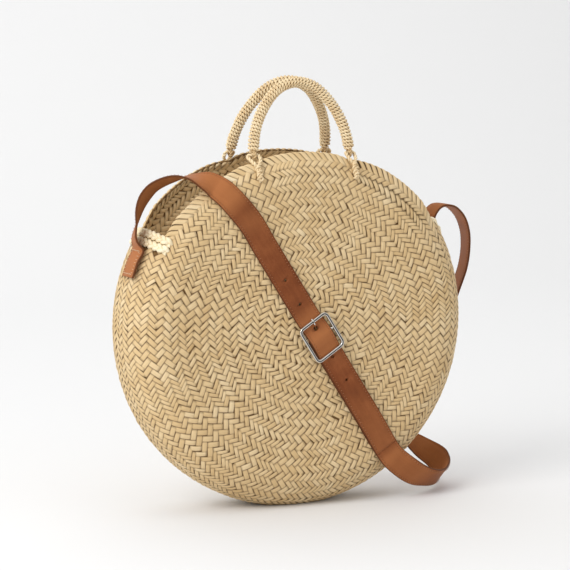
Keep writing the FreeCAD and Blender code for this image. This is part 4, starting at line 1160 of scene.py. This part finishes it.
box_width = 2 * (STRAP_HALF - SEAM_MARGIN)
box_length = (TAB_ANGLES[2] - TAB_ANGLES[0]) * BODY_RADIUS - 2 * SEAM_MARGIN
for side, hand in (("left", -1), ("right", 1)):
    spots, lays, ups = [], [], []
    box = [(end * box_length / 2, across, False) for end in (-1, 1) for across in evenly(box_width)]
    box += [(along, end * box_width / 2, True) for end in (-1, 1) for along in evenly(box_length)]
    for along, across, lengthways in box:
        turn = TAB_ANGLES[1] + along / BODY_RADIUS
        far = float(outline(np.array(turn))) + OFF_BAG + STRAP_TOP + BOX_RISE
        spots.append((hand * far * math.cos(turn), hand * TAB_OFFSET + across,
                      AXIS_HEIGHT + far * math.sin(turn)))
        lays.append((-hand * math.sin(turn), 0.0, math.cos(turn)) if lengthways else (0.0, 1.0, 0.0))
        ups.append((hand * math.cos(turn), 0.0, math.sin(turn)))
    box_seam = sewn(side + "_tab", spots, lays, ups, PALE_THREAD, BOX_THREAD)
    piece(side + "_tab_box", box_seam, "bag", "thread", side + "_tab_stitches")

fold_middle = Vector(on_front(FOLD_FLAP - SEAM_MARGIN, STRAP_TOP)[:3])
fold_row = [fold_middle + ACROSS * across for across in evenly(box_width)]
fold_lays, fold_ups = [tuple(ACROSS)] * len(fold_row), [(0.0, -1.0, 0.0)] * len(fold_row)
fold_seam = sewn("fold", fold_row, fold_lays, fold_ups, TAN_THREAD)
piece("fold_seam", fold_seam, "bag", "thread", "fold_stitches")

# Backing patches
# A patch of the strap's lining leather inside the gusset behind each tab, which the tab's stitches go
# through.

PATCH_ANGLES, PATCH_WAY = np.radians(np.linspace(14.9, 24.2, 12)), 0.0271
PATCH_TOP, PATCH_BOTTOM = -0.0052, -0.0064
for side in ("left", "right"):
    start = HALF_GIRTH - PATCH_WAY if side == "left" else HALF_GIRTH
    ways = np.linspace(start, start + PATCH_WAY, 12)
    angles = math.pi - PATCH_ANGLES if side == "left" else PATCH_ANGLES
    patch = ground(side + "_patch", ways, angles, PATCH_TOP, PATCH_BOTTOM, FLESH_SIDE, False)
    piece(side + "_patch", patch, "bag", "leather_lining", side + "_backing_patch")

# Buckle
# A cast frame and prong, nickel plated and polished, with fine handling marks. Both keep their own
# solids.

BUCKLE_LENGTH, BUCKLE_WIDTH, BUCKLE_BAR, BUCKLE_CORNER = 0.0414, 0.0364, 0.0031, 0.006


def nickel_finish():
    """Polished nickel plate with faint scratches, and a painted reflection of a dark side of the room along
    its sides' middles."""
    material, start, shader = finish_of("polished_nickel")
    place = start.node("ShaderNodeTexCoord", output="Object")
    film = start.node("ShaderNodeTexNoise", {}, {"Vector": place, "Scale": 160.0, "Detail": 3.0})
    scratch_place = start.node("ShaderNodeMapping", {}, {
        "Vector": place, "Rotation": (0.0, 0.9, 0.0), "Scale": (300.0, 300.0, 4000.0)})
    scratch = start.node("ShaderNodeTexNoise", {}, {"Vector": scratch_place, "Scale": 1.0, "Detail": 2.0})
    stops = [(0.3, (0.66, 0.63, 0.58)), (0.7, (0.78, 0.76, 0.72))]
    colour = start.node("ShaderNodeValToRGB", {"stops": stops}, {0: film})
    # Painted reflection: a dark band is painted into the colour along the middle of each side of the frame.
    middle = Vector((BUCKLE_X, 0.0, AXIS_HEIGHT + BUCKLE_Z))
    past = []
    for way, size in ((DOWN, BUCKLE_LENGTH), (ACROSS, BUCKLE_WIDTH)):
        reach = start.node("ShaderNodeVectorMath", {"operation": "DOT_PRODUCT"},
                           {0: place, 1: tuple(way)}, "Value")
        past.append(abs(reach - way.dot(middle)) - (size / 2 - BUCKLE_CORNER))
    most = start.maths("MAXIMUM", *past)
    round_part = [start.maths("MAXIMUM", value, 0.0) for value in past]
    inset = BUCKLE_CORNER - most.least(0.0) - (round_part[0] ** 2.0 + round_part[1] ** 2.0) ** 0.5
    painted_reflection = (inset / BUCKLE_BAR).step(0.24, 0.36) * (1 - (inset / BUCKLE_BAR).step(0.62, 0.76))
    colour = colour.mix((0.05, 0.046, 0.042, 1.0), painted_reflection)
    bump = start.node("ShaderNodeBump", inputs={"Strength": 0.05, "Distance": 0.0001, "Height": scratch})
    feed(shader, Base_Color=colour, Metallic=1.0, Normal=bump,
         Roughness=0.1 + film * 0.12 + (scratch - 0.5) * 0.06)
    return material


NICKEL = nickel_finish()
for name in ("buckle_frame", "buckle_prong"):
    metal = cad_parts[name].data
    metal.materials.clear()
    metal.materials.append(NICKEL)

# Floor, light and camera
# A pale seamless sweep under soft daylight from the left, seen as the photograph sees it.

FLOOR_REACH, BEND_START, BEND_RADIUS, BACKDROP_TOP = 6.0, 1.6, 1.2, 5.0
FOCAL_PIXELS, PHOTO_PIXELS = 2450, 570


def sweep():
    """A floor that curves up into a backdrop behind the bag."""
    profile = [(-FLOOR_REACH, 0.0), (BEND_START, 0.0)]
    profile += [(BEND_START + BEND_RADIUS * math.sin(turn), BEND_RADIUS - BEND_RADIUS * math.cos(turn))
                for turn in np.linspace(0.1, math.pi / 2, 14)]
    profile.append((BEND_START + BEND_RADIUS, BACKDROP_TOP))
    spots = [(side * FLOOR_REACH, y, z) for side in (-1, 1) for y, z in profile]
    count = len(profile)
    mesh = bpy.data.meshes.new("floor")
    mesh.from_pydata(spots, [], [(n, n + count, n + count + 1, n + 1) for n in range(count - 1)])
    material, start, shader = finish_of("pale_floor")
    feed(shader, Base_Color=(0.81, 0.81, 0.81, 1.0), Roughness=0.85, Specular_IOR_Level=0.1)
    return tidy(mesh, material)


floor = placed("floor", sweep())


def aim(item, place, target):
    """Puts a light or camera at a place and turns it to a target."""
    item.location = place
    item.rotation_euler = (Vector(target) - Vector(place)).to_track_quat("-Z", "Y").to_euler()


def softbox(name, place, target, size, power):
    """A broad soft light."""
    light = bpy.data.lights.new(name, "AREA")
    light.shape = "RECTANGLE"
    light.size, light.size_y = size
    light.energy = power
    aim(placed(name, light), place, target)


softbox("window_light", (-2.2, -1.0, 1.7), (0.0, 0.0, 0.2), (1.6, 1.6), 45)
softbox("overhead_light", (0.0, 0.2, 2.6), (0.0, 0.0, 0.2), (2.5, 2.5), 10)
softbox("backdrop_light", (0.4, 1.9, 2.4), (0.4, 2.0, 0.0), (4.0, 1.2), 14)
world = bpy.data.worlds.new("studio")
world.use_nodes = True
background = world.node_tree.nodes["Background"]
background.inputs["Color"].default_value = (1.0, 1.0, 1.0, 1.0)
background.inputs["Strength"].default_value = 0.76
bpy.context.scene.world = world
bpy.context.scene.view_settings.view_transform = "Standard"

lens = bpy.data.cameras.new("camera")
lens.sensor_width = 36.0
lens.lens = lens.sensor_width * FOCAL_PIXELS / PHOTO_PIXELS
camera = placed("camera", lens)
aim(camera, (-1.0504, -2.1917, 0.493), (-0.0023, 0.0056, 0.2178))
bpy.context.scene.camera = camera
